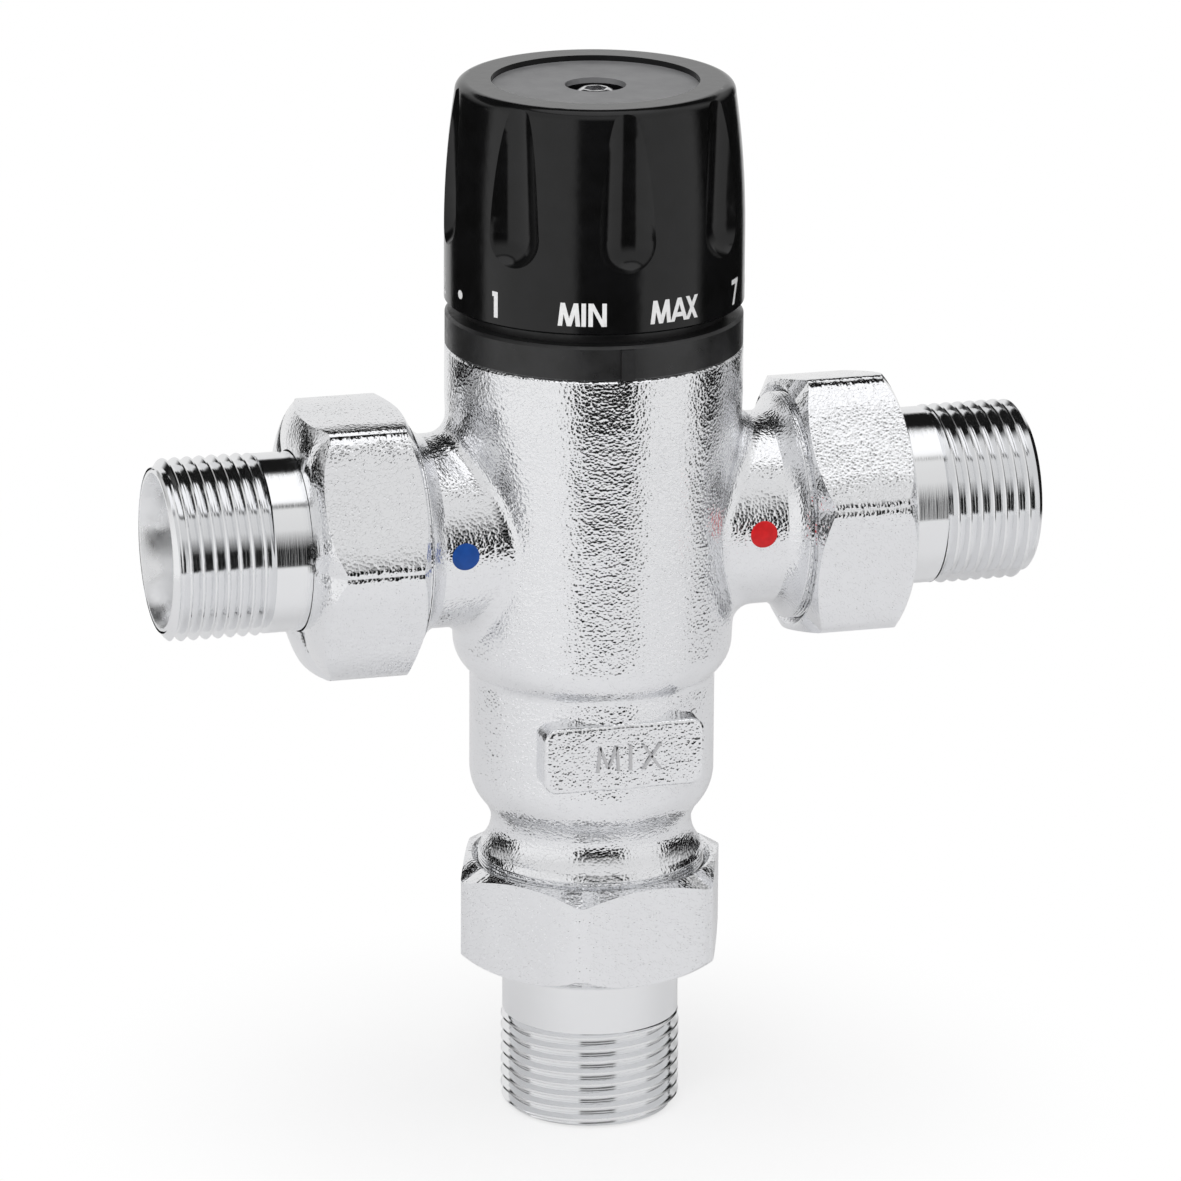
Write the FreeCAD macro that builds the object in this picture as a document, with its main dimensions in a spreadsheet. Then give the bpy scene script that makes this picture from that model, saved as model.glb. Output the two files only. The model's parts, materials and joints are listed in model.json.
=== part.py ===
"""Thermostatic mixing valve with three union connections, 3/4 inch.

Frame: +Z up along the spindle, cold inlet at -X, hot inlet at +X, front at -Y.
The origin is the centre of the mixed outlet's end face, so the inlets' common
axis lies at z = port_height. Most sketches are drawn about that crossing point,
and each body's Placement lifts it to its place. Millimetres throughout.
"""
import FreeCAD, Part
import math
import os
import re
import Sketcher

SIZES = [
    # forged body
    ("barrel_radius", 21.65, "barrel at its top"),
    ("barrel_top", 26.7, "top face above the inlet axis"),
    ("barrel_edge", 0.4, "chamfer of the barrel's top edge"),
    ("barrel_low_radius", 20.45, "barrel just above its lower shoulder"),
    ("barrel_straight", 19.0, "height where the taper starts"),
    ("shoulder_depth", 17.4, "lower shoulder below the inlet axis"),
    ("neck_top", 23.0, "depth where the neck starts"),
    ("neck_radius", 17.95, "round neck below the barrel"),
    ("neck_above", 14.3, "neck's lower end above the outlet nut's face"),
    ("waist_above", 6.3, "waist above the outlet nut's face"),
    ("waist_radius", 14.75, "waist above the outlet collar"),
    ("waist_start", 0.9, "waist's lower curve starts above the collar's edge"),
    ("waist_mid_drop", 1.0, "point between waist and neck below half way"),
    ("boss_radius", 14.15, "inlet bosses"),
    ("boss_blend", 3.0, "fillet between boss and barrel"),
    ("flare_length", 2.4, "cone between boss and threaded collar"),
    ("pad_half_width", 12.0, "marking pad on the neck"),
    ("pad_front", 18.25, "marking pad face from the axis"),
    ("pad_top", 25.8, "pad's upper edge below the inlet axis"),
    ("pad_bottom", 35.8, "pad's lower edge below the inlet axis"),
    ("pad_corner", 2.0, "pad's corner radius"),
    ("pad_rim", 0.7, "rounding round the pad's face"),
    ("collar_chamfer", 0.6, "chamfer of the threaded collars and other turned ends"),
    ("flare_curve", 5.0, "curve between each boss and its threaded collar"),
    ("waist_low_curve", 6.5, "curve from the outlet collar to the waist"),
    ("waist_curve", 7.0, "curve through the waist"),
    ("neck_low_curve", 7.5, "curve from the waist out to the neck"),
    ("neck_top_curve", 1.6, "hollow where the neck meets the shoulder"),
    ("shoulder_curve", 6.0, "curve of the lower shoulder"),
    ("shoulder_step", 0.55, "width of that hollow"),
    ("shoulder_rise", 1.2, "height of that hollow"),
    # inside of the body
    ("chamber_radius", 15.5, "cold and hot ring chambers"),
    ("chamber_half", 2.5, "half thickness of the wall between them"),
    ("hot_seat_depth", 13.3, "hot seat below the inlet axis"),
    ("outlet_bore", 11.5, "bore of the mixing chamber and outlet"),
    ("guide_step", 0.6, "step that carries the spring guide"),
    ("guide_depth", 30.0, "depth of that step"),
    ("inlet_bore", 10.0, "bore of the inlets"),
    ("inlet_floor", 17.5, "flat end of the inlet bores from the axis"),
    ("window_half_width", 5.0, "windows from the inlets to the chambers"),
    ("window_top", 8.6, "height of the windows' far edge"),
    ("cartridge_radius", 12.0, "counterbore for the check valves"),
    ("cartridge_depth", 13.2, "its depth from the port face"),
    # unions
    ("side_nut_face", 28.9, "inlet nuts' inner faces from the axis"),
    ("mix_nut_face", 51.3, "outlet nut's inner face below the axis"),
    ("side_tail_out", 20.1, "inlet tailpieces beyond their nuts"),
    ("mix_tail_out", 22.7, "outlet tailpiece beyond its nut"),
    ("nut_length", 16.0, "nut between its end faces"),
    ("nut_half_flat", 18.5, "half the width across flats"),
    ("nut_corner", 2.4, "rounding of the six corners"),
    ("nut_lip", 2.6, "lip that pulls on the tailpiece"),
    ("nut_inner_bevel", 30.0, "chamfer angle at the body end"),
    ("nut_bevel_start", 0.4, "that chamfer starts inside the flats"),
    ("nut_dome", 3.0, "length of the domed tail end"),
    ("nut_dome_reach", 2.4, "dome starts outside the flats"),
    ("nut_mouth", 14.3, "radius where the dome ends"),
    ("port_thread", 16.5, "threaded collars of the body"),
    ("port_start", 0.9, "collar edge short of the nut's face"),
    ("thread_play", 0.1, "radial play in the nuts"),
    ("nut_entry", 1.0, "countersink at the nut's open end"),
    ("gasket_thick", 2.0, "flat gaskets"),
    ("gasket_play", 0.3, "gaskets inside the collars and outside the bores"),
    ("collar_thick", 3.2, "tailpiece collar"),
    ("collar_radius", 15.9, "tailpiece collar"),
    ("tail_thread", 13.22, "G 3/4 thread, major radius"),
    ("tail_thread_length", 14.5, "thread on the tailpieces"),
    ("thread_lead_in", 0.2, "step from the plain part to the thread"),
    ("tail_neck", 13.0, "plain part of the tailpieces"),
    ("tail_bore", 10.0, "bore of the tailpieces"),
    ("tail_chamfer", 0.9, "outer edge of the tail end"),
    ("mouth_radius", 11.6, "internal countersink at the tail end"),
    ("mouth_depth", 2.6, "its depth"),
    ("seat_gap", 0.05, "gap kept between parts that seat or slide"),
    # check valves and strainers
    ("check_wall", 1.5, "cage wall"),
    ("spider_thick", 1.8, "three-armed spider of the cage"),
    ("spider_arm", 1.8, "width of its arms"),
    ("spider_hub", 1.6, "wall of its hub"),
    ("check_opening", 3.0, "poppet travel"),
    ("poppet_radius", 8.2, "poppet disc"),
    ("poppet_thick", 1.8, "poppet disc"),
    ("poppet_back", 1.2, "rise of the poppet's domed back"),
    ("poppet_neck", 1.0, "cone under the disc"),
    ("stem_end", 0.6, "stem beyond the cage"),
    ("poppet_land", 0.4, "flat round the domed back"),
    ("poppet_stem", 1.2, "poppet stem radius"),
    ("check_seat_length", 2.6, "seat ring"),
    ("check_seat_bore", 6.8, "seat ring bore"),
    ("check_spring_radius", 4.0, "mean radius of the check springs"),
    ("check_wire", 0.35, "wire radius of the check springs"),
    ("strainer_flange", 11.6, "strainer flange radius"),
    ("strainer_radius", 9.2, "strainer cup"),
    ("strainer_wall", 0.5, "strainer wall"),
    ("strainer_length", 7.0, "strainer cup"),
    ("strainer_slot", 1.6, "width of its slots and their distance from the flange"),
    ("strainer_cap", 1.4, "slots' end to the closed end"),
    # headwork and index ring
    ("headwork_radius", 17.5, "threaded part in the body"),
    ("headwork_bottom", 12.0, "lower face, which is the cold seat"),
    ("headwork_edge", 0.6, "chamfer of its lower edge"),
    ("seal_groove_low", 3.4, "seal groove's lower side below the flange"),
    ("seal_groove_high", 1.3, "its upper side below the flange"),
    ("headwork_flange", 18.9, "flange on the body's top face"),
    ("flange_thick", 2.0, "its thickness"),
    ("headwork_neck", 11.5, "neck inside the knob"),
    ("headwork_top", 44.0, "top of the neck"),
    ("neck_edge", 0.8, "chamfer of the neck's top"),
    ("carriage_bore", 9.1, "bore for the carriage"),
    ("key_reach", 1.4, "depth of the two key slots"),
    ("key_width", 3.0, "width of the carriage's keys"),
    ("key_stop", 0.6, "slots end short of the spindle's flange"),
    ("bearing_height", 34.0, "shoulder that bears the spindle's flange"),
    ("seal_ring", 0.9, "section radius of the large seal rings"),
    ("ring_radius", 21.6, "index ring"),
    ("ring_thick", 5.0, "index ring"),
    ("index_rib_width", 1.9, "index rib"),
    ("index_rib_proud", 0.5, "index rib beyond the ring"),
    ("index_angle", 2.9, "index rib, degrees left of the front"),
    ("ring_edge", 0.4, "chamfer of the ring's upper edge"),
    ("ring_foot", 0.2, "chamfer of its lower edge"),
    ("ring_play", 0.1, "ring round the headwork"),
    ("stop_inner", 15.2, "inner radius of the stop lugs"),
    ("stop_outer", 18.4, "outer radius of the fixed stop lug"),
    ("stop_half_angle", 4.6, "half angle of each stop lug, degrees"),
    ("stop_height", 4.5, "height of the fixed lug"),
    ("stop_inset", 0.4, "moving lug above the skirt's edge"),
    ("stop_gap", 0.25, "moving lug short of the fixed one at rest, degrees"),
    ("stop_room", 1.6, "height left over the lugs inside the knob"),
    # knob
    ("knob_gap", 1.7, "gap between index ring and knob"),
    ("collar_play", 0.3, "running gap round the ring's collar inside the knob"),
    ("knob_radius", 21.7, "skirt"),
    ("knob_height", 32.2, "skirt edge to top face"),
    ("knob_straight", 10.0, "straight lower part of the skirt"),
    ("knob_top_radius", 20.2, "radius at the top"),
    ("knob_edge", 1.6, "rounding of the top edge"),
    ("skirt_edge", 0.3, "chamfers of the skirt's lower edge"),
    ("knob_seat", 1.9, "boss above the headwork"),
    ("screw_play", 0.15, "hole round the screw"),
    ("knob_wall", 2.2, "skirt wall"),
    ("knob_web", 3.2, "top wall"),
    ("knob_boss", 8.0, "boss around the spindle"),
    ("recess_radius", 15.0, "recess for the disc"),
    ("recess_depth", 1.6, "its depth"),
    ("disc_thick", 0.8, "plate in the recess"),
    ("screw_well", 4.4, "well for the screw"),
    ("well_depth", 3.5, "depth of the well from the top face"),
    ("knob_inner_radius", 17.2, "inside of the knob behind the flutes"),
    ("flute_radius", 5.0, "half width of the flutes' cutter at their lower end"),
    ("flute_top_radius", 4.2, "the same at the knob's top"),
    ("flute_axis_radius", 24.0, "cutter's axis from the knob's axis"),
    ("flute_start", 8.4, "flutes above the skirt edge"),
    ("flute_turn", 3.1, "first flute, degrees left of the front"),
    # spindle, carriage and overtravel
    ("spindle_radius", 5.0, "spindle in its bearing"),
    ("spindle_flange", 7.4, "captive flange"),
    ("spindle_flange_thick", 2.4, "captive flange"),
    ("spindle_thread", 4.4, "threaded lower end"),
    ("spline_radius", 4.6, "splined upper end"),
    ("spline_top", 58.4, "top of the spindle"),
    ("spline_depth", 0.5, "spline gaps, and relief under the knob"),
    ("spline_start", 1.1, "splines above the headwork"),
    ("seal_groove_half", 0.9, "half width of the spindle's seal grooves"),
    ("first_seal", 3.0, "lower seal above the bearing shoulder"),
    ("second_seal", 6.4, "upper seal above the bearing shoulder"),
    ("tip_chamfer", 0.6, "end of the threaded tip"),
    ("screw_hole", 8.0, "straight part of the screw's hole"),
    ("spindle_seal", 0.75, "section radius of the spindle seal rings"),
    ("screw_shank", 2.0, "knob screw"),
    ("screw_fit", 0.03, "its radial play in the spindle"),
    ("screw_head", 3.1, "knob screw head"),
    ("screw_head_height", 2.2, "knob screw head"),
    ("screw_length", 9.0, "knob screw under its head"),
    ("socket_radius", 1.7, "corners of its hexagon socket"),
    ("socket_depth", 1.4, "its hexagon socket"),
    ("head_round", 2.0, "rounding of its head"),
    ("head_land", 1.2, "width of that rounding"),
    ("head_rim", 0.9, "depth of that rounding"),
    ("screw_point", 0.5, "chamfer of its end"),
    ("carriage_radius", 9.0, "carriage"),
    ("carriage_bottom", 12.8, "lower rim at rest"),
    ("carriage_floor", 22.4, "underside of its top wall"),
    ("carriage_top", 27.4, "top at rest"),
    ("carriage_wall", 1.3, "cup wall"),
    ("carriage_lift", 3.5, "travel from coldest to hottest"),
    ("clip_thick", 0.8, "carriage clip"),
    ("clip_height", 0.9, "clip's groove above the lower rim"),
    ("clip_groove", 0.6, "depth of that groove"),
    ("clip_width", 1.6, "radial width of the clip"),
    ("key_land", 1.5, "keys end below the cup's top"),
    ("clip_half_angle", 160.0, "half the sweep of the open rings, degrees"),
    ("button_radius", 7.0, "button under the overtravel spring"),
    ("button_thick", 1.6, "button flange"),
    ("button_rim", 1.4, "wall round the button's socket for the pin"),
    ("button_socket", 0.6, "depth of that socket"),
    ("button_boss", 0.5, "boss inside the spring"),
    ("pin_radius", 2.0, "piston pin"),
    ("pin_depth", 11.0, "pin inside the element's guide"),
    ("pin_bore", 13.5, "bore of that guide"),
    ("overtravel", 2.5, "overtravel"),
    ("overtravel_spring_radius", 5.9, "mean radius"),
    ("overtravel_wire", 0.45, "wire radius"),
    # shutter and temperature element
    ("shutter_radius", 12.5, "shutter sleeve"),
    ("shutter_bore", 11.2, "inside of the sleeve"),
    ("shutter_travel", 2.0, "shutter travel"),
    ("slide_play", 0.05, "radial running clearance"),
    ("shutter_seal", 0.6, "section radius of the shutter seal ring"),
    ("shutter_lip", 0.5, "seating lips of the sleeve"),
    ("shutter_groove", 0.15, "seal groove beyond its ring"),
    ("hub_radius", 9.6, "hub of the shutter"),
    ("hub_top", 3.0, "hub's upper face below the inlet axis"),
    ("hub_bottom", 6.0, "hub's lower face below the inlet axis"),
    ("shutter_arm", 3.2, "width of the four arms of the hub"),
    ("bulb_radius", 6.5, "temperature element bulb"),
    ("bulb_bottom", 32.0, "lower end of the bulb"),
    ("bulb_round", 1.5, "rounding of the bulb's lower end"),
    ("element_guide", 4.5, "guide of the element"),
    ("element_top", 8.0, "top of the guide"),
    ("guide_edge", 0.5, "chamfer of the guide's end"),
    ("return_spring_radius", 8.6, "mean radius"),
    ("return_wire", 0.7, "wire radius"),
    ("guide_bore", 7.4, "bore of the spring guide"),
    ("guide_thick", 2.0, "spring guide"),
    # what follows from these
    ("port_height", "=mix_nut_face + nut_length + mix_tail_out", "mixed outlet end to inlet axis"),
    ("port_reach", "=side_nut_face + nut_length + side_tail_out", "valve axis to inlet end"),
    ("waist_depth", "=mix_nut_face - waist_above", "depth of the waist above the outlet collar"),
    ("neck_bottom", "=mix_nut_face - neck_above", "depth where the neck ends"),
]

V = FreeCAD.Vector
doc = FreeCAD.newDocument("mixing_valve")


# ---------------------------------------------------------------- the sheet
def fill_sheet():
    """One row for each size: name, value with its alias, and what it is."""
    table = doc.addObject("Spreadsheet::Sheet", "Sizes")
    for row, (name, number, note) in enumerate(SIZES, start=1):
        table.set(f"A{row}", name)
        table.set(f"B{row}", str(number))
        table.setAlias(f"B{row}", name)
        table.set(f"C{row}", note)
    doc.recompute()
    return table


sheet = fill_sheet()
NAMES = {name for name, _, _ in SIZES}


def bound(formula):
    """A formula over size names, written as a document expression."""
    return re.sub(r"[a-z_]+", lambda m: "Sizes." + m[0] if m[0] in NAMES else m[0], str(formula))


def value(formula):
    """The number that such a formula gives now."""
    return float(sheet.evalExpression(bound(formula)))


# ------------------------------------------------------------ sketch helpers
def sketch_on(body, plane, name, turn=None, shift=None):
    """A sketch on one of the body's own origin planes."""
    sketch = body.newObject("Sketcher::SketchObject", name)
    origin_plane = next(f for f in body.Origin.OriginFeatures if f.Role == plane)
    sketch.AttachmentSupport = (origin_plane, [""])
    sketch.MapMode = "FlatFace"
    if turn is not None:
        sketch.setExpression("AttachmentOffset.Rotation.Angle", bound(turn))
    for axis, formula in (shift or {}).items():
        sketch.setExpression(f"AttachmentOffset.Base.{axis}", bound(formula))
    return sketch


def fix(sketch, kind, *where, formula):
    """A driving constraint whose value follows a formula."""
    index = sketch.addConstraint(Sketcher.Constraint(kind, *where, value(formula)))
    sketch.setExpression(f"Constraints[{index}]", bound(formula))


def arc_between(start, end, radius):
    """An arc from start to end, left turning for a positive radius."""
    chord = end - start
    middle = (start + end) * 0.5
    height = math.sqrt(max(radius * radius - chord.Length**2 / 4, 0))
    side = V(-chord.y, chord.x, 0).normalize() * (height if radius > 0 else -height)
    centre = middle + side
    angles = [math.atan2(p.y - centre.y, p.x - centre.x) for p in (start, end)]
    if radius < 0:
        angles.reverse()
    return Part.ArcOfCircle(Part.Circle(centre, V(0, 0, 1), abs(radius)), *angles)


def add_loop(sketch, points):
    """A closed outline through (x, y) or (x, y, arc) points, all as formulas.

    The third entry makes the run from that point to the next an arc of that
    radius, left turning when positive.
    """
    corners = [V(value(p[0]), value(p[1]), 0) for p in points]
    first = sketch.GeometryCount
    ends = []
    for i, point in enumerate(points):
        here, there = corners[i], corners[(i + 1) % len(points)]
        if len(point) == 2:
            sketch.addGeometry(Part.LineSegment(here, there))
            ends.append((1, 2))
            continue
        radius = value(point[2])
        sketch.addGeometry(arc_between(here, there, radius))
        ends.append((1, 2) if radius > 0 else (2, 1))
        fix(sketch, "Radius", first + i, formula=f"abs({point[2]})")
    for i, point in enumerate(points):
        following = (i + 1) % len(points)
        here, there = first + i, first + following
        joint = Sketcher.Constraint("Coincident", here, ends[i][1], there, ends[following][0])
        sketch.addConstraint(joint)
        fix(sketch, "DistanceX", here, ends[i][0], formula=point[0])
        fix(sketch, "DistanceY", here, ends[i][0], formula=point[1])


def add_circle(sketch, radius, x="0", y="0"):
    """A circle whose centre and radius are formulas."""
    index = sketch.GeometryCount
    sketch.addGeometry(Part.Circle(V(value(x), value(y), 0), V(0, 0, 1), value(radius)))
    fix(sketch, "Radius", index, formula=radius)
    fix(sketch, "DistanceX", index, 3, formula=x)
    fix(sketch, "DistanceY", index, 3, formula=y)


# ----------------------------------------------------------- feature helpers
PLACES = {
    # local frame of a piece -> rotation of that piece
    "valve": FreeCAD.Rotation(),
    "cold": FreeCAD.Rotation(V(0, 1, 0), -90),
    "hot": FreeCAD.Rotation(V(0, 1, 0), 90),
    "mix": FreeCAD.Rotation(V(1, 0, 0), 180),
}


def new_body(label, place="valve"):
    """A body drawn about the crossing of the valve's two axes.

    In the cold, hot and mix frames local +Z points out of that port.
    """
    body = doc.addObject("PartDesign::Body", label)
    body.Label = label
    body.Placement = FreeCAD.Placement(V(0, 0, 0), PLACES[place])
    body.setExpression("Placement.Base.z", bound("port_height"))
    return body


def revolve(body, name, points, axis="V_Axis", plane="XZ_Plane", cut=False):
    """A full turn of an outline about an axis of its sketch."""
    sketch = sketch_on(body, plane, name + "_outline")
    add_loop(sketch, points)
    before = body.Shape.Volume if cut else 0.0
    feature = body.newObject("PartDesign::Groove" if cut else "PartDesign::Revolution", name)
    feature.Profile = sketch
    feature.ReferenceAxis = (sketch, [axis])
    feature.Angle = 360
    doc.recompute()
    check_cut(body, name, before, cut)
    return feature


def extrude(body, name, sketch, length, cut=False, back=False):
    """A pad or a pocket of a sketch, its length a formula."""
    before = body.Shape.Volume if cut else 0.0
    feature = body.newObject("PartDesign::Pocket" if cut else "PartDesign::Pad", name)
    feature.Profile = sketch
    feature.setExpression("Length", bound(length))
    feature.Reversed = back
    doc.recompute()
    check_cut(body, name, before, cut)
    return feature


def check_cut(body, name, before, cut):
    """A cut that takes nothing away is a mistake in its direction."""
    if cut and body.Shape.Volume > before - 1e-3:
        raise RuntimeError(f"{body.Label}: {name} cuts nothing")


def repeat(body, feature, count, axis="Z_Axis"):
    """The feature repeated evenly round one of the body's axes."""
    pattern = body.newObject("PartDesign::PolarPattern", feature.Name + "_round")
    pattern.Originals = [feature]
    line = next(f for f in body.Origin.OriginFeatures if f.Role == axis)
    pattern.Axis = (line, [""])
    pattern.Angle = 360
    pattern.Occurrences = count
    body.Tip = pattern
    doc.recompute()
    return pattern


def edges_where(feature, test):
    """Names of the edges of a feature that pass a test."""
    return [f"Edge{i}" for i, edge in enumerate(feature.Shape.Edges, 1) if test(edge)]


def round_edges(body, name, names, radius, kind="Fillet"):
    """A fillet or a chamfer on named edges of the body's last feature."""
    if not names:
        raise RuntimeError(f"{body.Label}: {name} found no edges")
    rounded = body.Tip
    feature = body.newObject("PartDesign::" + kind, name)
    feature.Base = (rounded, names)
    feature.setExpression("Radius" if kind == "Fillet" else "Size", bound(radius))
    doc.recompute()
    return feature


# ------------------------------------------------------------------ the body
def port_face(nut_face):
    """Distance of a threaded collar's end face from the crossing point."""
    return f"({nut_face} + nut_length - nut_lip - collar_thick - gasket_thick)"


SIDE_FACE = port_face("side_nut_face")
MIX_FACE = port_face("mix_nut_face")


def make_valve_body():
    """Forged brass body: barrel, two inlet bosses, neck, waist and outlet collar."""
    body = new_body("valve_body")
    collar = "(mix_nut_face - port_start)"
    middle = "-(waist_depth + neck_bottom) / 2 - waist_mid_drop"
    revolve(body, "barrel", [
        ("0", "barrel_top"),
        ("0", f"-{MIX_FACE}"),
        ("port_thread - collar_chamfer", f"-{MIX_FACE}"),
        ("port_thread", f"-{MIX_FACE} + collar_chamfer"),
        ("port_thread", f"-{collar}"),
        ("port_thread - 0.3", f"-{collar} + waist_start", "-waist_low_curve"),
        ("waist_radius", "-waist_depth", "-waist_curve"),
        ("(neck_radius + waist_radius) / 2", middle, "neck_low_curve"),
        ("neck_radius", "-neck_bottom"),
        ("neck_radius", "-neck_top", "-neck_top_curve"),
        ("neck_radius + shoulder_step", "-neck_top + shoulder_rise", "shoulder_curve"),
        ("barrel_low_radius", "-shoulder_depth"),
        ("barrel_radius", "barrel_straight"),
        ("barrel_radius", "barrel_top - barrel_edge"),
        ("barrel_radius - barrel_edge", "barrel_top"),
    ])
    start = "(side_nut_face - port_start)"
    ports = revolve(body, "inlets", [
        (f"-{SIDE_FACE}", "0"),
        (f"{SIDE_FACE}", "0"),
        (f"{SIDE_FACE}", "port_thread - collar_chamfer"),
        (f"{SIDE_FACE} - collar_chamfer", "port_thread"),
        (start, "port_thread", "-flare_curve"),
        (f"{start} - flare_length", "boss_radius"),
        (f"-{start} + flare_length", "boss_radius", "-flare_curve"),
        (f"-{start}", "port_thread"),
        (f"-{SIDE_FACE} + collar_chamfer", "port_thread"),
        (f"-{SIDE_FACE}", "port_thread - collar_chamfer"),
    ], axis="H_Axis")
    reach = value("barrel_radius") + 1

    def blend(edge):
        box = edge.BoundBox
        inside = abs(box.XMin) < reach and abs(box.XMax) < reach and box.XMin * box.XMax > 0
        return inside and not isinstance(edge.Curve, (Part.Circle, Part.Line))

    round_edges(body, "boss_blends", edges_where(ports, blend), "boss_blend")
    add_marking_pad(body)
    bore_the_body(body)
    return body


def add_marking_pad(body):
    """Flat tablet with round corners, forged on the front of the neck."""
    sketch = sketch_on(body, "XZ_Plane", "pad_outline")
    c = "pad_corner"
    add_loop(sketch, [
        (f"-pad_half_width + {c}", "-pad_bottom"),
        (f"pad_half_width - {c}", "-pad_bottom", c),
        ("pad_half_width", f"-pad_bottom + {c}"),
        ("pad_half_width", f"-pad_top - {c}", c),
        (f"pad_half_width - {c}", "-pad_top"),
        (f"-pad_half_width + {c}", "-pad_top", c),
        ("-pad_half_width", f"-pad_top - {c}"),
        ("-pad_half_width", f"-pad_bottom + {c}", c),
    ])
    pad = extrude(body, "marking_pad", sketch, "pad_front")
    front = -value("pad_front")

    def rim(edge):
        return abs(edge.BoundBox.YMin - front) < 0.01 and abs(edge.BoundBox.YMax - front) < 0.01

    round_edges(body, "pad_rim", edges_where(pad, rim), "pad_rim")


def bore_the_body(body):
    """Chambers, seat and outlet from above and below, then both inlets."""
    thread = "headwork_radius + thread_play"
    revolve(body, "bores", [
        ("0", "barrel_top + 1"),
        (thread, "barrel_top + 1"),
        (thread, "headwork_bottom"),
        ("chamber_radius", "headwork_bottom"),
        ("chamber_radius", "chamber_half"),
        ("shutter_radius + slide_play", "chamber_half"),
        ("shutter_radius + slide_play", "-chamber_half"),
        ("chamber_radius", "-chamber_half"),
        ("chamber_radius", "-hot_seat_depth"),
        ("outlet_bore", "-hot_seat_depth"),
        ("outlet_bore", "-guide_depth"),
        ("outlet_bore - guide_step", "-guide_depth"),
        ("outlet_bore - guide_step", f"-{MIX_FACE} - 1"),
        ("0", f"-{MIX_FACE} - 1"),
    ], cut=True)
    for side, sign in (("cold", "-1"), ("hot", "1")):
        step = f"({SIDE_FACE} - cartridge_depth)"
        outside = f"({SIDE_FACE} + 1)"
        points = [
            (f"{sign} * inlet_floor", "0"),
            (f"{sign} * inlet_floor", "inlet_bore"),
            (f"{sign} * {step}", "inlet_bore"),
            (f"{sign} * {step}", "cartridge_radius"),
            (f"{sign} * {outside}", "cartridge_radius"),
            (f"{sign} * {outside}", "0"),
        ]
        revolve(body, side + "_inlet_bore", points, axis="H_Axis", cut=True)
        window = sketch_on(body, "YZ_Plane", side + "_window_outline")
        low, high = ("chamber_half", "window_top") if side == "cold" else ("-window_top", "-chamber_half")
        add_loop(window, [
            ("-window_half_width", low), ("window_half_width", low),
            ("window_half_width", high), ("-window_half_width", high),
        ])
        extrude(body, side + "_window", window, "inlet_floor + 0.5", cut=True, back=side == "cold")


# ------------------------------------------------------------------- unions
UNIONS = {
    # port: inner face of its nut, end of its tailpiece, clocking of the nut in degrees
    "cold": ("side_nut_face", "port_reach", "30"),
    "hot": ("side_nut_face", "port_reach", "17"),
    "mix": ("mix_nut_face", "port_height", "49"),
}


def make_nut(port):
    """Hexagonal union nut: bevelled body end, domed tail end, internal lip."""
    face, _, clocking = UNIONS[port]
    body = new_body(port + "_union_nut", port)
    hexagon = sketch_on(body, "XY_Plane", "hexagon", turn=clocking, shift={"z": face})
    corner = "nut_half_flat / cos(30)"
    add_loop(hexagon, [(f"{corner} * cos({a})", f"{corner} * sin({a})") for a in range(0, 360, 60)])
    prism = extrude(body, "prism", hexagon, "nut_length")
    upright = edges_where(prism, lambda e: e.BoundBox.ZLength > value("nut_length") - 0.01)
    round_edges(body, "corners", upright, "nut_corner")
    outer = "(nut_half_flat / cos(30) + 1)"
    revolve(body, "body_end_bevel", [
        ("nut_half_flat - nut_bevel_start", face),
        (outer, face),
        (outer, f"{face} + ({outer} - nut_half_flat + nut_bevel_start) * tan(nut_inner_bevel)"),
    ], cut=True)
    end = f"({face} + nut_length)"
    shoulder = "(nut_half_flat + nut_dome_reach)"
    dome = f"((({shoulder} - nut_mouth)^2 + nut_dome^2) / (2 * nut_dome))"
    revolve(body, "tail_end_dome", [
        ("nut_mouth", end),
        ("nut_mouth", f"{end} + 1"),
        (outer, f"{end} + 1"),
        (outer, f"{end} - nut_dome"),
        (shoulder, f"{end} - nut_dome", dome),
    ], cut=True)
    thread = "(port_thread + thread_play)"
    revolve(body, "bore", [
        ("0", f"{face} - 1"),
        (f"{thread} + nut_entry", f"{face} - 1"),
        (f"{thread} + nut_entry", face),
        (thread, f"{face} + nut_entry"),
        (thread, f"{end} - nut_lip"),
        ("tail_neck + 2 * thread_play", f"{end} - nut_lip"),
        ("tail_neck + 2 * thread_play", f"{end} + 1"),
        ("0", f"{end} + 1"),
    ], cut=True)
    return body


def make_tailpiece(port):
    """Turned tailpiece: collar behind the nut's lip, plain neck, G 3/4 thread."""
    face, reach, _ = UNIONS[port]
    body = new_body(port + "_tailpiece", port)
    lip = f"({face} + nut_length - nut_lip)"
    start = f"({lip} - collar_thick)"
    thread = f"({reach} - tail_thread_length)"
    recess = "strainer_wall + seat_gap"
    inner = [("tail_bore", start)]
    if port != "mix":
        inner = [("tail_bore", f"{start} + {recess}"), ("strainer_flange + seat_gap", f"{start} + {recess}"),
                 ("strainer_flange + seat_gap", start)]
    revolve(body, "turned", inner + [
        ("collar_radius", start),
        ("collar_radius", lip),
        ("tail_neck", lip),
        ("tail_neck", f"{thread} - thread_lead_in"),
        ("tail_thread", thread),
        ("tail_thread", f"{reach} - tail_chamfer"),
        ("tail_thread - tail_chamfer", reach),
        ("mouth_radius", reach),
        ("tail_bore", f"{reach} - mouth_depth"),
    ])
    return body


def make_gasket(port):
    """Flat gasket between the threaded collar and the tailpiece."""
    body = new_body(port + "_gasket", port)
    inner = port_face(UNIONS[port][0])
    sketch = sketch_on(body, "XY_Plane", "ring", shift={"z": inner})
    add_circle(sketch, "collar_radius - gasket_play")
    add_circle(sketch, "tail_bore + gasket_play")
    extrude(body, "washer", sketch, "gasket_thick")
    return body


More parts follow.
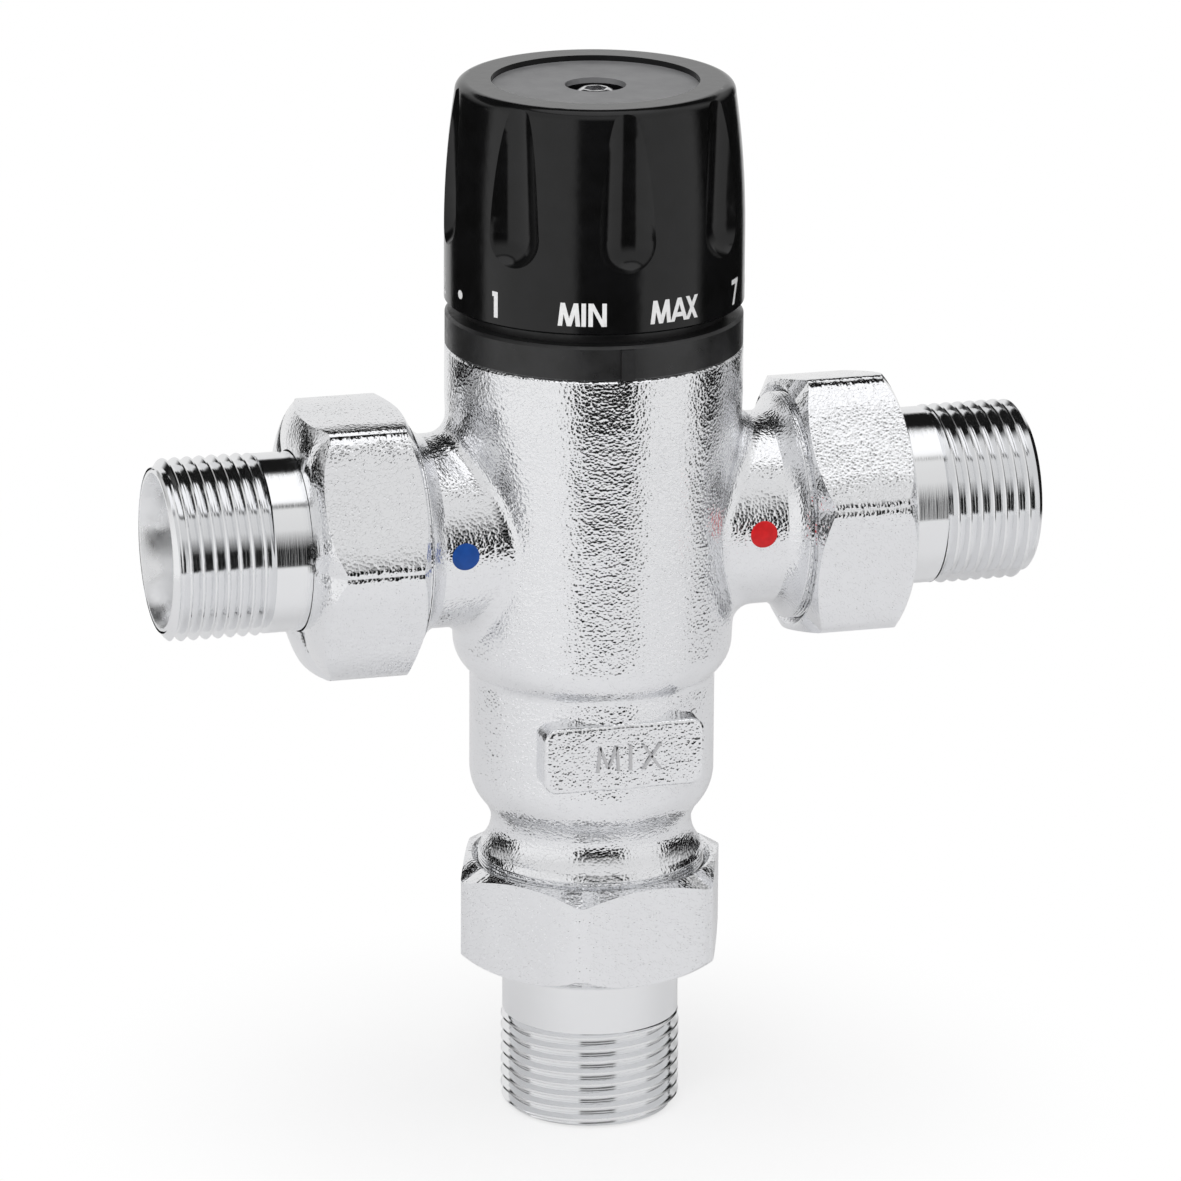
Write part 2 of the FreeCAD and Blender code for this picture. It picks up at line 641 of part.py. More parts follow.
# ----------------------------------------------- check valves and strainers
CAGE = f"({SIDE_FACE} - cartridge_depth + seat_gap)"
CHECK_SEAT = f"({SIDE_FACE} - check_seat_length)"
POPPET = f"({CHECK_SEAT} - seat_gap - poppet_thick)"


def make_check_cage(port):
    """Plastic cage with a three-armed spider that guides the poppet's stem."""
    body = new_body(port + "_check_cage", port)
    outer = "cartridge_radius - seat_gap"
    end = f"({SIDE_FACE} - seat_gap)"
    revolve(body, "sleeve", [
        (f"{outer} - check_wall", CAGE),
        (outer, CAGE),
        (outer, end),
        (f"{outer} - check_wall", end),
    ])
    hub = sketch_on(body, "XY_Plane", "hub_ring", shift={"z": CAGE})
    add_circle(hub, "poppet_stem + spider_hub")
    add_circle(hub, "poppet_stem + slide_play")
    extrude(body, "hub", hub, "spider_thick")
    arm = sketch_on(body, "XY_Plane", "arm_outline", shift={"z": CAGE})
    near, far = "poppet_stem + spider_hub * 0.75", "cartridge_radius - check_wall"
    add_loop(arm, [
        (near, "-spider_arm / 2"), (far, "-spider_arm / 2"),
        (far, "spider_arm / 2"), (near, "spider_arm / 2"),
    ])
    repeat(body, extrude(body, "arm", arm, "spider_thick"), 3)
    return body


def make_check_seat(port):
    """Seat ring pressed in the outer end of the cage."""
    body = new_body(port + "_check_seat", port)
    outer = "cartridge_radius - seat_gap - check_wall"
    end = f"({SIDE_FACE} - seat_gap)"
    revolve(body, "ring", [
        ("check_seat_bore", CHECK_SEAT),
        (outer, CHECK_SEAT),
        (outer, end),
        ("check_seat_bore + 1", end),
        ("check_seat_bore", f"{end} - 1"),
    ])
    return body


def make_poppet(port):
    """Poppet with a domed back and a guide stem; it lifts toward the valve's axis."""
    body = new_body(port + "_check_poppet", port)
    back = f"{POPPET} + poppet_thick + poppet_back"
    revolve(body, "poppet", [
        ("0", f"{CAGE} - stem_end"),
        ("poppet_stem", f"{CAGE} - stem_end"),
        ("poppet_stem", f"{POPPET} - poppet_neck"),
        ("check_spring_radius - check_wire - seat_gap", POPPET),
        ("poppet_radius", POPPET),
        ("poppet_radius", f"{POPPET} + poppet_thick"),
        ("check_seat_bore - poppet_land", f"{POPPET} + poppet_thick"),
        ("check_seat_bore - poppet_land - poppet_back", back),
        ("0", back),
    ])
    return body


def make_strainer(port):
    """Pressed strainer cup, its flange clamped in the tailpiece's collar."""
    body = new_body(port + "_strainer", port)
    start = f"({SIDE_FACE} + gasket_thick)"
    end = f"({start} + strainer_length)"
    revolve(body, "cup", [
        ("strainer_radius - strainer_wall", start),
        ("strainer_flange", start),
        ("strainer_flange", f"{start} + strainer_wall"),
        ("strainer_radius", f"{start} + strainer_wall"),
        ("strainer_radius", end),
        ("0", end),
        ("0", f"{end} - strainer_wall"),
        ("strainer_radius - strainer_wall", f"{end} - strainer_wall"),
    ])
    slot = sketch_on(body, "XZ_Plane", "slot_outline")
    add_loop(slot, [
        ("-strainer_slot / 2", f"{start} + strainer_slot"),
        ("strainer_slot / 2", f"{start} + strainer_slot"),
        ("strainer_slot / 2", f"{end} - strainer_cap"),
        ("-strainer_slot / 2", f"{end} - strainer_cap"),
    ])
    repeat(body, extrude(body, "slot", slot, "strainer_radius + 1", cut=True), 10)
    return body


# ------------------------------------------------------- headwork and index ring
INDEX_TOP = "(barrel_top + ring_thick)"
SKIRT = f"({INDEX_TOP} + knob_gap)"
KNOB_TOP = f"({SKIRT} + knob_height)"
KNOB_CUP = "(knob_radius - knob_wall)"


def make_headwork():
    """Brass headwork: threaded plug, flange, neck, carriage bore and bearing."""
    body = new_body("headwork")
    flange = "barrel_top + flange_thick"
    groove = "headwork_radius + thread_play - 2 * seal_ring"
    low, high = "barrel_top - seal_groove_low", "barrel_top - seal_groove_high"
    revolve(body, "turned", [
        ("carriage_bore", "headwork_bottom"),
        ("headwork_radius - headwork_edge", "headwork_bottom"),
        ("headwork_radius", "headwork_bottom + headwork_edge"),
        ("headwork_radius", low),
        (groove, low),
        (groove, high),
        ("headwork_radius", high),
        ("headwork_radius", "barrel_top"),
        ("headwork_flange", "barrel_top"),
        ("headwork_flange", flange),
        ("headwork_neck", flange),
        ("headwork_neck", "headwork_top - neck_edge"),
        ("headwork_neck - neck_edge", "headwork_top"),
        ("spindle_radius + slide_play", "headwork_top"),
        ("spindle_radius + slide_play", "bearing_height"),
        ("carriage_bore", "bearing_height"),
    ])
    keys = sketch_on(body, "XY_Plane", "key_slots_outline", shift={"z": "headwork_bottom"})
    half = "(key_width / 2 + slide_play)"
    tip = "(carriage_bore + key_reach)"
    add_loop(keys, [(f"-{tip}", f"-{half}"), (tip, f"-{half}"), (tip, half), (f"-{tip}", half)])
    length = "bearing_height - headwork_bottom - spindle_flange_thick - key_stop"
    extrude(body, "key_slots", keys, length, cut=True, back=True)
    return body


def make_seal_ring(label, section, major, height):
    """Round-section seal ring about the valve's axis."""
    ring = doc.addObject("Part::Torus", label)
    ring.Label = label
    ring.setExpression("Radius1", bound(major))
    ring.setExpression("Radius2", bound(section))
    ring.setExpression("Placement.Base.z", bound(f"port_height + {height}"))
    return ring


def make_index_ring():
    """Black ring under the knob, with a collar behind the gap, index rib and fixed stop lug."""
    body = new_body("index_ring")
    under = "barrel_top + flange_thick + seat_gap"
    revolve(body, "ring", [
        ("headwork_flange + ring_play", "barrel_top"),
        ("ring_radius - ring_foot", "barrel_top"),
        ("ring_radius", "barrel_top + ring_foot"),
        ("ring_radius", f"{INDEX_TOP} - ring_edge"),
        ("ring_radius - ring_edge", INDEX_TOP),
        (f"{KNOB_CUP} - collar_play", INDEX_TOP),
        (f"{KNOB_CUP} - collar_play", f"{SKIRT} + seat_gap"),
        ("stop_outer - 0.2", f"{SKIRT} + seat_gap"),
        ("stop_outer - 0.2", INDEX_TOP),
        ("headwork_neck + ring_play", INDEX_TOP),
        ("headwork_neck + ring_play", under),
        ("headwork_flange + ring_play", under),
    ])
    rib = sketch_on(body, "XY_Plane", "rib_outline", turn="-index_angle", shift={"z": "barrel_top + 0.1"})
    half = "index_rib_width / 2"
    inner, outer = "-ring_radius + 1", "-ring_radius - index_rib_proud"
    add_loop(rib, [(f"-{half}", inner), (f"-{half}", outer), (half, outer), (half, inner)])
    extrude(body, "index_rib", rib, "ring_thick - ring_edge - 0.1")
    lug = sketch_on(body, "XY_Plane", "fixed_stop_outline", shift={"z": f"{INDEX_TOP} - 1"})
    add_loop(lug, sector("stop_inner", "stop_outer", "90", "stop_half_angle"))
    extrude(body, "fixed_stop", lug, "stop_height + 1")
    return body


def sector(inner, outer, middle, half):
    """A ring sector about an angle, all formulas, its ends radial, each arc in two halves."""
    low, mid, high = f"(({middle}) - ({half}))", f"({middle})", f"(({middle}) + ({half}))"
    return [
        (f"({inner}) * cos({low})", f"({inner}) * sin({low})"),
        (f"({outer}) * cos({low})", f"({outer}) * sin({low})", outer),
        (f"({outer}) * cos({mid})", f"({outer}) * sin({mid})", outer),
        (f"({outer}) * cos({high})", f"({outer}) * sin({high})"),
        (f"({inner}) * cos({high})", f"({inner}) * sin({high})", f"-({inner})"),
        (f"({inner}) * cos({mid})", f"({inner}) * sin({mid})", f"-({inner})"),
    ]


# -------------------------------------------------------------------- the knob
def make_knob():
    """Moulded knob: tapered skirt with eight ball-ended flutes, boss and moving stop."""
    body = new_body("knob")
    straight = f"({SKIRT} + knob_straight)"
    edge = f"({KNOB_TOP} - knob_edge)"
    fall, drop = f"({edge} - {straight})", "(knob_radius - knob_top_radius)"
    curve = f"(({fall}^2 + {drop}^2) / (2 * {drop}))"
    web = f"({KNOB_TOP} - recess_depth - knob_web)"
    boss_bottom = "(headwork_top + knob_seat)"
    well = f"({KNOB_TOP} - well_depth)"
    revolve(body, "moulding", [
        ("screw_well", f"{KNOB_TOP} - recess_depth"),
        ("screw_well", well),
        ("screw_shank + screw_play", well),
        ("screw_shank + screw_play", "spline_top + seat_gap"),
        ("spline_radius + seat_gap", "spline_top + seat_gap"),
        ("spline_radius + seat_gap", boss_bottom),
        ("knob_boss", boss_bottom),
        ("knob_boss", web),
        ("knob_inner_radius", web),
        ("knob_inner_radius", f"{SKIRT} + flute_start"),
        (KNOB_CUP, f"{SKIRT} + stop_height + stop_room"),
        (KNOB_CUP, f"{SKIRT} + skirt_edge"),
        (f"{KNOB_CUP} + skirt_edge", SKIRT),
        ("knob_radius - skirt_edge", SKIRT),
        ("knob_radius", f"{SKIRT} + skirt_edge"),
        ("knob_radius", straight, curve),
        ("knob_top_radius", edge, "knob_edge"),
        ("knob_top_radius - knob_edge", KNOB_TOP),
        ("recess_radius", KNOB_TOP),
        ("recess_radius", f"{KNOB_TOP} - recess_depth"),
    ])
    cut_flutes(body)
    lug = sketch_on(body, "XY_Plane", "moving_stop_outline", shift={"z": f"{SKIRT} + stop_inset"})
    turn = "90 + 2 * stop_half_angle + stop_gap"
    add_loop(lug, sector("stop_inner", f"{KNOB_CUP} + 0.5", turn, "stop_half_angle"))
    extrude(body, "moving_stop", lug, "stop_height")
    return body


def cut_flutes(body):
    """Eight grip flutes: an upright cone, widest at its ball end, turned about the axis."""
    foot = f"({SKIRT} + flute_start + flute_radius)"
    along = "-90 - flute_turn"
    cone = body.newObject("PartDesign::SubtractiveCone", "flute")
    cone.setExpression("Radius1", bound("flute_radius"))
    cone.setExpression("Radius2", bound("flute_top_radius"))
    cone.setExpression("Height", bound(f"{KNOB_TOP} - {foot}"))
    ball = body.newObject("PartDesign::SubtractiveSphere", "flute_end")
    ball.setExpression("Radius", bound("flute_radius"))
    for cutter in (cone, ball):
        support = next(f for f in body.Origin.OriginFeatures if f.Role == "XY_Plane")
        cutter.AttachmentSupport = (support, [""])
        cutter.MapMode = "FlatFace"
        cutter.setExpression("AttachmentOffset.Base.x", bound(f"flute_axis_radius * cos({along})"))
        cutter.setExpression("AttachmentOffset.Base.y", bound(f"flute_axis_radius * sin({along})"))
        cutter.setExpression("AttachmentOffset.Base.z", bound(foot))
    doc.recompute()
    pattern = body.newObject("PartDesign::PolarPattern", "flutes")
    pattern.Originals = [cone, ball]
    line = next(f for f in body.Origin.OriginFeatures if f.Role == "Z_Axis")
    pattern.Axis = (line, [""])
    pattern.Angle = 360
    pattern.Occurrences = 8
    body.Tip = pattern
    doc.recompute()


def make_knob_disc():
    """Round plate in the knob's top recess, open over the screw."""
    body = new_body("knob_disc")
    sketch = sketch_on(body, "XY_Plane", "plate_outline", shift={"z": f"{KNOB_TOP} - recess_depth"})
    add_circle(sketch, "recess_radius - seat_gap")
    add_circle(sketch, "screw_well")
    extrude(body, "plate", sketch, "disc_thick")
    return body


def make_knob_screw():
    """Pan-head screw with a hexagon socket that holds the knob on the spindle."""
    body = new_body("knob_screw")
    seat = f"({KNOB_TOP} - well_depth)"
    foot, top = f"({seat} - screw_length)", f"({seat} + screw_head_height)"
    revolve(body, "turned", [
        ("0", foot),
        ("screw_shank - screw_point", foot),
        ("screw_shank", f"{foot} + screw_point"),
        ("screw_shank", seat),
        ("screw_head", seat),
        ("screw_head", f"{top} - head_rim", "head_round"),
        ("screw_head - head_land", top),
        ("0", top),
    ])
    socket = sketch_on(body, "XY_Plane", "socket_outline", shift={"z": top})
    add_loop(socket, [(f"socket_radius * cos({a})", f"socket_radius * sin({a})") for a in range(0, 360, 60)])
    extrude(body, "socket", socket, "socket_depth", cut=True)
    return body


# ------------------------------------------------------- spindle and carriage
BUTTON_TOP = "(carriage_bottom + clip_height + clip_thick + seat_gap + button_thick + button_boss)"
SPINDLE_TIP = f"({BUTTON_TOP} + carriage_lift + overtravel + 0.4)"


def make_spindle():
    """Rotating spindle: threaded tip, captive flange, bearing with two seals, splines."""
    body = new_body("spindle")
    groove = "spindle_radius + slide_play - 2 * spindle_seal"
    foot = "bearing_height - seat_gap"
    flange = f"({foot} - spindle_flange_thick)"
    seals = []
    for middle in SPINDLE_SEALS:
        low, high = f"{middle} - seal_groove_half", f"{middle} + seal_groove_half"
        seals += [("spindle_radius", low), (groove, low), (groove, high), ("spindle_radius", high)]
    revolve(body, "turned", [
        ("0", SPINDLE_TIP),
        ("spindle_thread - tip_chamfer", SPINDLE_TIP),
        ("spindle_thread", f"{SPINDLE_TIP} + tip_chamfer"),
        ("spindle_thread", flange),
        ("spindle_flange", flange),
        ("spindle_flange", foot),
        ("spindle_radius", foot),
    ] + seals + [
        ("spindle_radius", "headwork_top + seat_gap"),
        ("spline_radius - spline_depth", "headwork_top + seat_gap"),
        ("spline_radius - spline_depth", "headwork_top + spline_start"),
        ("spline_radius", "headwork_top + spline_start"),
        ("spline_radius", "spline_top - spline_depth"),
        ("spline_radius - spline_depth", "spline_top"),
        ("screw_shank + screw_fit", "spline_top"),
        ("screw_shank + screw_fit", "spline_top - screw_hole"),
        ("0", "spline_top - screw_hole - 1"),
    ])
    tooth = sketch_on(body, "XY_Plane", "spline_gap_outline", shift={"z": "headwork_top + 2"})
    r = "spline_radius"
    add_loop(tooth, [(f"{r} - spline_depth", "0"), (f"{r} + 0.3", "-0.5"), (f"{r} + 0.3", "0.5")])
    gap = extrude(body, "spline_gap", tooth, "20", cut=True, back=True)
    repeat(body, gap, 20)
    return body


SPINDLE_SEALS = ("(bearing_height + first_seal)", "(bearing_height + second_seal)")


def make_spindle_clip():
    """Retaining ring over the headwork's neck that keeps the spindle from dropping."""
    body = new_body("spindle_clip")
    sketch = sketch_on(body, "XY_Plane", "clip_outline", shift={"z": "headwork_top + seat_gap"})
    add_loop(sketch, sector("(spline_radius - 0.45)", "(spindle_radius + 2)", "180", "clip_half_angle"))
    extrude(body, "clip", sketch, "1")
    return body


def make_carriage():
    """Non-turning cup on the spindle's thread, with two keys and the overtravel chamber."""
    body = new_body("overtravel_cup")
    inside = "(carriage_radius - carriage_wall)"
    clip = "(carriage_bottom + clip_height)"
    revolve(body, "cup", [
        (inside, "carriage_bottom"),
        ("carriage_radius", "carriage_bottom"),
        ("carriage_radius", "carriage_top"),
        ("spindle_thread + slide_play", "carriage_top"),
        ("spindle_thread + slide_play", "carriage_floor"),
        (inside, "carriage_floor"),
        (inside, f"{clip} + clip_thick + seat_gap"),
        (f"{inside} + clip_groove", f"{clip} + clip_thick + seat_gap"),
        (f"{inside} + clip_groove", clip),
        (inside, clip),
    ])
    tip = "(carriage_bore + key_reach - seat_gap)"
    for name, sign in (("left_key", "-1"), ("right_key", "1")):
        key = sketch_on(body, "XY_Plane", name + "_outline", shift={"z": "carriage_floor"})
        near = "(carriage_radius - 0.6)"
        x_pair = (f"{sign} * {near}", f"{sign} * {tip}")
        add_loop(key, [
            (x_pair[0], "-key_width / 2"), (x_pair[1], "-key_width / 2"),
            (x_pair[1], "key_width / 2"), (x_pair[0], "key_width / 2"),
        ])
        extrude(body, name, key, "carriage_top - carriage_floor - key_land")
    return body


CUP_CLIP_TOP = "(carriage_bottom + clip_height + clip_thick)"


def make_cup_clip():
    """Open ring in the cup's groove that holds the button in."""
    body = new_body("overtravel_clip")
    low = "carriage_bottom + clip_height + seat_gap"
    sketch = sketch_on(body, "XY_Plane", "clip_outline", shift={"z": low})
    outer = "(carriage_radius - carriage_wall + clip_groove - 0.1)"
    add_loop(sketch, sector(f"{outer} - clip_width", outer, "0", "clip_half_angle"))
    extrude(body, "clip", sketch, "clip_thick - seat_gap")
    return body


def make_button():
    """Button under the overtravel spring, with a socket for the piston pin."""
    body = new_body("overtravel_button")
    low = f"({CUP_CLIP_TOP} + seat_gap)"
    top = f"({low} + button_thick)"
    revolve(body, "button", [
        ("0", f"{low} - button_socket"),
        ("pin_radius + button_rim", f"{low} - button_socket"),
        ("pin_radius + button_rim", low),
        ("button_radius", low),
        ("button_radius", top),
        ("overtravel_spring_radius - overtravel_wire - 0.3", top),
        ("overtravel_spring_radius - overtravel_wire - 0.5", f"{top} + button_boss"),
        ("0", f"{top} + button_boss"),
    ])
    return body


def make_piston_pin():
    """Steel pin between the button and the wax of the temperature element."""
    pin = doc.addObject("Part::Cylinder", "piston_pin")
    pin.Label = "piston_pin"
    low = "(element_top - pin_depth)"
    pin.setExpression("Radius", bound("pin_radius"))
    pin.setExpression("Height", bound(f"{CUP_CLIP_TOP} + seat_gap - button_socket - {low}"))
    pin.setExpression("Placement.Base.z", bound(f"port_height + {low}"))
    return pin


# --------------------------------------------- shutter and temperature element
def make_shutter():
    """Sleeve that opens one seat as it closes the other, on a four-armed hub."""
    body = new_body("shutter")
    top = "(headwork_bottom - seat_gap)"
    bottom = "(-hot_seat_depth + shutter_travel + seat_gap)"
    groove = "shutter_radius + slide_play - 2 * shutter_seal"
    middle = "shutter_travel / 2"
    half_groove = "(shutter_seal + shutter_groove)"
    revolve(body, "sleeve", [
        ("shutter_bore", f"{bottom} + shutter_lip"),
        ("shutter_radius - shutter_lip", bottom),
        ("shutter_radius", f"{bottom} + shutter_lip"),
        ("shutter_radius", f"{middle} - {half_groove}"),
        (groove, f"{middle} - {half_groove}"),
        (groove, f"{middle} + {half_groove}"),
        ("shutter_radius", f"{middle} + {half_groove}"),
        ("shutter_radius", f"{top} - shutter_lip"),
        ("shutter_radius - shutter_lip", top),
        ("shutter_bore", f"{top} - shutter_lip"),
    ])
    hub = sketch_on(body, "XY_Plane", "hub_outline", shift={"z": "-hub_bottom"})
    add_circle(hub, "hub_radius")
    add_circle(hub, "element_guide + seat_gap")
    extrude(body, "hub", hub, "hub_bottom - hub_top")
    arm = sketch_on(body, "XY_Plane", "arm_outline", shift={"z": "-hub_bottom"})
    add_loop(arm, [
        ("hub_radius - 0.6", "-shutter_arm / 2"), ("shutter_bore + 0.3", "-shutter_arm / 2"),
        ("shutter_bore + 0.3", "shutter_arm / 2"), ("hub_radius - 0.6", "shutter_arm / 2"),
    ])
    repeat(body, extrude(body, "arm", arm, "hub_bottom - hub_top"), 4)
    return body


def make_element():
    """Wax-filled temperature element: bulb below the hub, guide through it."""
    body = new_body("wax_element")
    revolve(body, "element", [
        ("0", "-bulb_bottom"),
        ("bulb_radius - bulb_round", "-bulb_bottom", "bulb_round"),
        ("bulb_radius", "-bulb_bottom + bulb_round"),
        ("bulb_radius", "-hub_bottom - seat_gap"),
        ("element_guide", "-hub_bottom - seat_gap"),
        ("element_guide", "element_top - guide_edge"),
        ("element_guide - guide_edge", "element_top"),
        ("pin_radius + slide_play", "element_top"),
        ("pin_radius + slide_play", "element_top - pin_bore"),
        ("0", "element_top - pin_bore"),
    ])
    return body


def make_spring_guide():
    """Ring on the step of the mixing chamber that carries the return spring."""
    body = new_body("spring_guide")
    revolve(body, "ring", [
        ("guide_bore", "-guide_depth"),
        ("outlet_bore - seat_gap", "-guide_depth"),
        ("outlet_bore - seat_gap", "-guide_depth + guide_thick"),
        ("guide_bore", "-guide_depth + guide_thick"),
    ])
    return body


# ------------------------------------------------------------------- springs
def make_spring(label, mean, wire, low, high, turns, place="valve"):
    """Compression spring between two seats at low and high; the wire has eight flats."""
    radius, thick = value(mean), value(wire)
    length = value(f"({high}) - ({low})") - 2 * thick
    helix = Part.makeHelix(length / turns, length, radius)
    flats = [math.radians(45 * i + 22.5) for i in range(9)]
    reach = thick / math.cos(math.radians(22.5))
    section = Part.makePolygon([V(radius + reach * math.cos(a), 0, reach * math.sin(a)) for a in flats])
    spring = doc.addObject("Part::Feature", label)
    spring.Label = label
    spring.Shape = helix.makePipeShell([section], True, True)
    foot = PLACES[place].multVec(V(0, 0, value(low) + thick))
    spring.Placement = FreeCAD.Placement(V(0, 0, value("port_height")) + foot, PLACES[place])
    return spring


def make_springs():
    """Return, overtravel and check springs, each between its two seats."""
    gap = "0.1"
    make_spring("return_spring", "return_spring_radius", "return_wire",
                f"-guide_depth + guide_thick + {gap}", f"-hub_bottom - {gap}", 6)
    make_spring("overtravel_spring", "overtravel_spring_radius", "overtravel_wire",
                f"{CUP_CLIP_TOP} + seat_gap + button_thick + {gap}", f"carriage_floor - {gap}", 5)
    for port in ("cold", "hot"):
        make_spring(f"{port}_check_spring", "check_spring_radius", "check_wire",
                    f"{CAGE} + spider_thick + {gap}", f"{POPPET} - {gap}", 4, place=port)


# -------------------------------------------------------------- build and write
def build():
    make_valve_body()
    for port in UNIONS:
        make_nut(port)
        make_tailpiece(port)
        make_gasket(port)
    for port in ("cold", "hot"):
        make_check_cage(port)
        make_check_seat(port)
        make_poppet(port)
        make_strainer(port)
    make_headwork()
    make_seal_ring("headwork_seal_ring", "seal_ring - seat_gap", "headwork_radius + thread_play - seal_ring",
                   "barrel_top - (seal_groove_low + seal_groove_high) / 2")
    make_index_ring()
    make_knob()
    make_knob_disc()
    make_knob_screw()
    make_spindle()
    for name, height in zip(("lower", "upper"), SPINDLE_SEALS):
        make_seal_ring(f"{name}_spindle_seal_ring", "spindle_seal - seat_gap",
                       "spindle_radius + slide_play - spindle_seal", height)
    make_spindle_clip()
    make_carriage()
    make_cup_clip()
    make_button()
    make_piston_pin()
    make_shutter()
    make_seal_ring("shutter_seal_ring", "shutter_seal - seat_gap",
                   "shutter_radius + slide_play - shutter_seal", "shutter_travel / 2")
    make_element()
    make_spring_guide()
    make_springs()
    doc.recompute()


def sub_parts():
    """Every finished sub-part: bodies, and primitives outside the bodies."""
    kinds = ("PartDesign::Body", "Part::Torus", "Part::Cylinder", "Part::Feature")
    return [obj for obj in doc.Objects if obj.TypeId in kinds]


def write_steps():
    """Check the whole document, then write one STEP file for each sub-part."""
    for obj in doc.Objects:
        if {"Invalid", "Error"} & set(obj.State):
            raise RuntimeError(f"{obj.Name} failed: {obj.State}")
    for part in sub_parts():
        if part.Shape.isNull() or not part.Shape.isValid():
            raise RuntimeError(f"{part.Label} has no valid shape")
        if len(part.Shape.Solids) != 1:
            raise RuntimeError(f"{part.Label} has {len(part.Shape.Solids)} solids")
    os.makedirs("parts", exist_ok=True)
    for part in sub_parts():
        part.Shape.exportStep(f"parts/{part.Label}.step")
    print(len(sub_parts()), "parts written")


build()
write_steps()
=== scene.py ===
import json
import math

import bmesh
import bpy
from mathutils import Matrix, Vector


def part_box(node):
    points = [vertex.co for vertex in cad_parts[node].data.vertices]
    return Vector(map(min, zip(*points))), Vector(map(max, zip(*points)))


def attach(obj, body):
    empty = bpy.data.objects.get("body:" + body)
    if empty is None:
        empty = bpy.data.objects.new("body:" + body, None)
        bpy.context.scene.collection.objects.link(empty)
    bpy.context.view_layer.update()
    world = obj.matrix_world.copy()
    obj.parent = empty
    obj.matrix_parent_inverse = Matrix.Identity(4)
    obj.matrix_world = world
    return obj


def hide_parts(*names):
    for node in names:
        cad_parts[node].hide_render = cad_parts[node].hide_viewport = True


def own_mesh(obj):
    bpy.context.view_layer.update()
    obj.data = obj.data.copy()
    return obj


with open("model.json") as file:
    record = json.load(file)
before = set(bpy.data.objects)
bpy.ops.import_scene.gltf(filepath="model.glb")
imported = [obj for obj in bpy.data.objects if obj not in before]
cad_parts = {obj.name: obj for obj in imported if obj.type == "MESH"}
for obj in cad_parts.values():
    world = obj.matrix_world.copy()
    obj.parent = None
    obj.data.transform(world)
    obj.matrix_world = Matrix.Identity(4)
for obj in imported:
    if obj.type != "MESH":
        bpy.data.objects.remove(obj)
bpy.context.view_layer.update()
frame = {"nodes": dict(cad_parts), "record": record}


# ---------------------------------------------------------------- camera
# A long lens a little to the left of the valve's front and above it, so that
# the knob's top, both inlets and the outlet show in one picture.
MM = 0.001
AXIS_Z = frame["record"]["mounts"][0]["pos_m"][2]  # height of the inlets' common axis
view_turn = math.radians(-15.722)
view_rise = math.radians(17.165)
view_roll = math.radians(0.35)
view_distance = 1.1148
lens_length = 232.7
aim = Vector((-0.275 * MM, 0, AXIS_Z - 10.98 * MM))

back = Vector((
    math.sin(view_turn) * math.cos(view_rise),
    -math.cos(view_turn) * math.cos(view_rise),
    math.sin(view_rise),
))
right = Vector((math.cos(view_turn), math.sin(view_turn), 0))
up = back.cross(right)
lens_right = right * math.cos(view_roll) + up * math.sin(view_roll)
lens_up = up * math.cos(view_roll) - right * math.sin(view_roll)

camera_data = bpy.data.cameras.new("camera")
camera_data.lens = lens_length
camera_data.sensor_width = 36
camera = bpy.data.objects.new("camera", camera_data)
bpy.context.collection.objects.link(camera)
turned = Matrix((lens_right, lens_up, back)).transposed().to_4x4()
camera.matrix_world = Matrix.Translation(aim + back * view_distance) @ turned
bpy.context.scene.camera = camera


# ------------------------------------------------------ body and union nuts
# The body and the three union nuts are hot-forged brass, shot-blasted to a
# fine grain and then chrome plated, so the plate keeps the grain.
def new_material(name):
    """An empty node material with its Principled shader."""
    material = bpy.data.materials.new(name)
    material.use_nodes = True
    return material, material.node_tree, material.node_tree.nodes["Principled BSDF"]


def add(tree, kind, **settings):
    """A node with its properties and plain socket values set."""
    node = tree.nodes.new(kind)
    for key, setting in settings.items():
        if hasattr(node, key):
            setattr(node, key, setting)
        else:
            node.inputs[key.replace("_", " ")].default_value = setting
    return node


def place(tree, scale=(1, 1, 1)):
    """Object coordinates, scaled."""
    coords = tree.nodes.new("ShaderNodeTexCoord")
    mapping = tree.nodes.new("ShaderNodeMapping")
    mapping.inputs["Scale"].default_value = scale
    tree.links.new(coords.outputs["Object"], mapping.inputs["Vector"])
    return mapping.outputs["Vector"]


def math_node(tree, operation, a, b=None, clamp=False):
    """A Math node fed by sockets or plain numbers."""
    node = tree.nodes.new("ShaderNodeMath")
    node.operation = operation
    node.use_clamp = clamp
    for index, source in enumerate((a, b)):
        if source is None:
            continue
        if isinstance(source, (int, float)):
            node.inputs[index].default_value = source
        else:
            tree.links.new(source, node.inputs[index])
    return node.outputs[0]


def noise(tree, vector, scale, detail=2.0, roughness=0.5):
    """A Noise texture's grey value."""
    node = add(tree, "ShaderNodeTexNoise", Scale=scale, Detail=detail, Roughness=roughness)
    tree.links.new(vector, node.inputs["Vector"])
    return node.outputs["Fac"]


def ramp(tree, source, stops):
    """A colour ramp through (position, grey or colour) stops."""
    node = tree.nodes.new("ShaderNodeValToRGB")
    elements = node.color_ramp.elements
    while len(elements) < len(stops):
        elements.new(0.5)
    for element, (position, colour) in zip(elements, stops):
        element.position = position
        grey = colour if isinstance(colour, tuple) else (colour, colour, colour)
        element.color = (*grey, 1)
    tree.links.new(source, node.inputs["Fac"])
    return node.outputs["Color"]


def vary(tree, shader, socket, source, stops):
    """A shader input that follows a texture through a colour ramp."""
    tree.links.new(ramp(tree, source, stops), shader.inputs[socket])


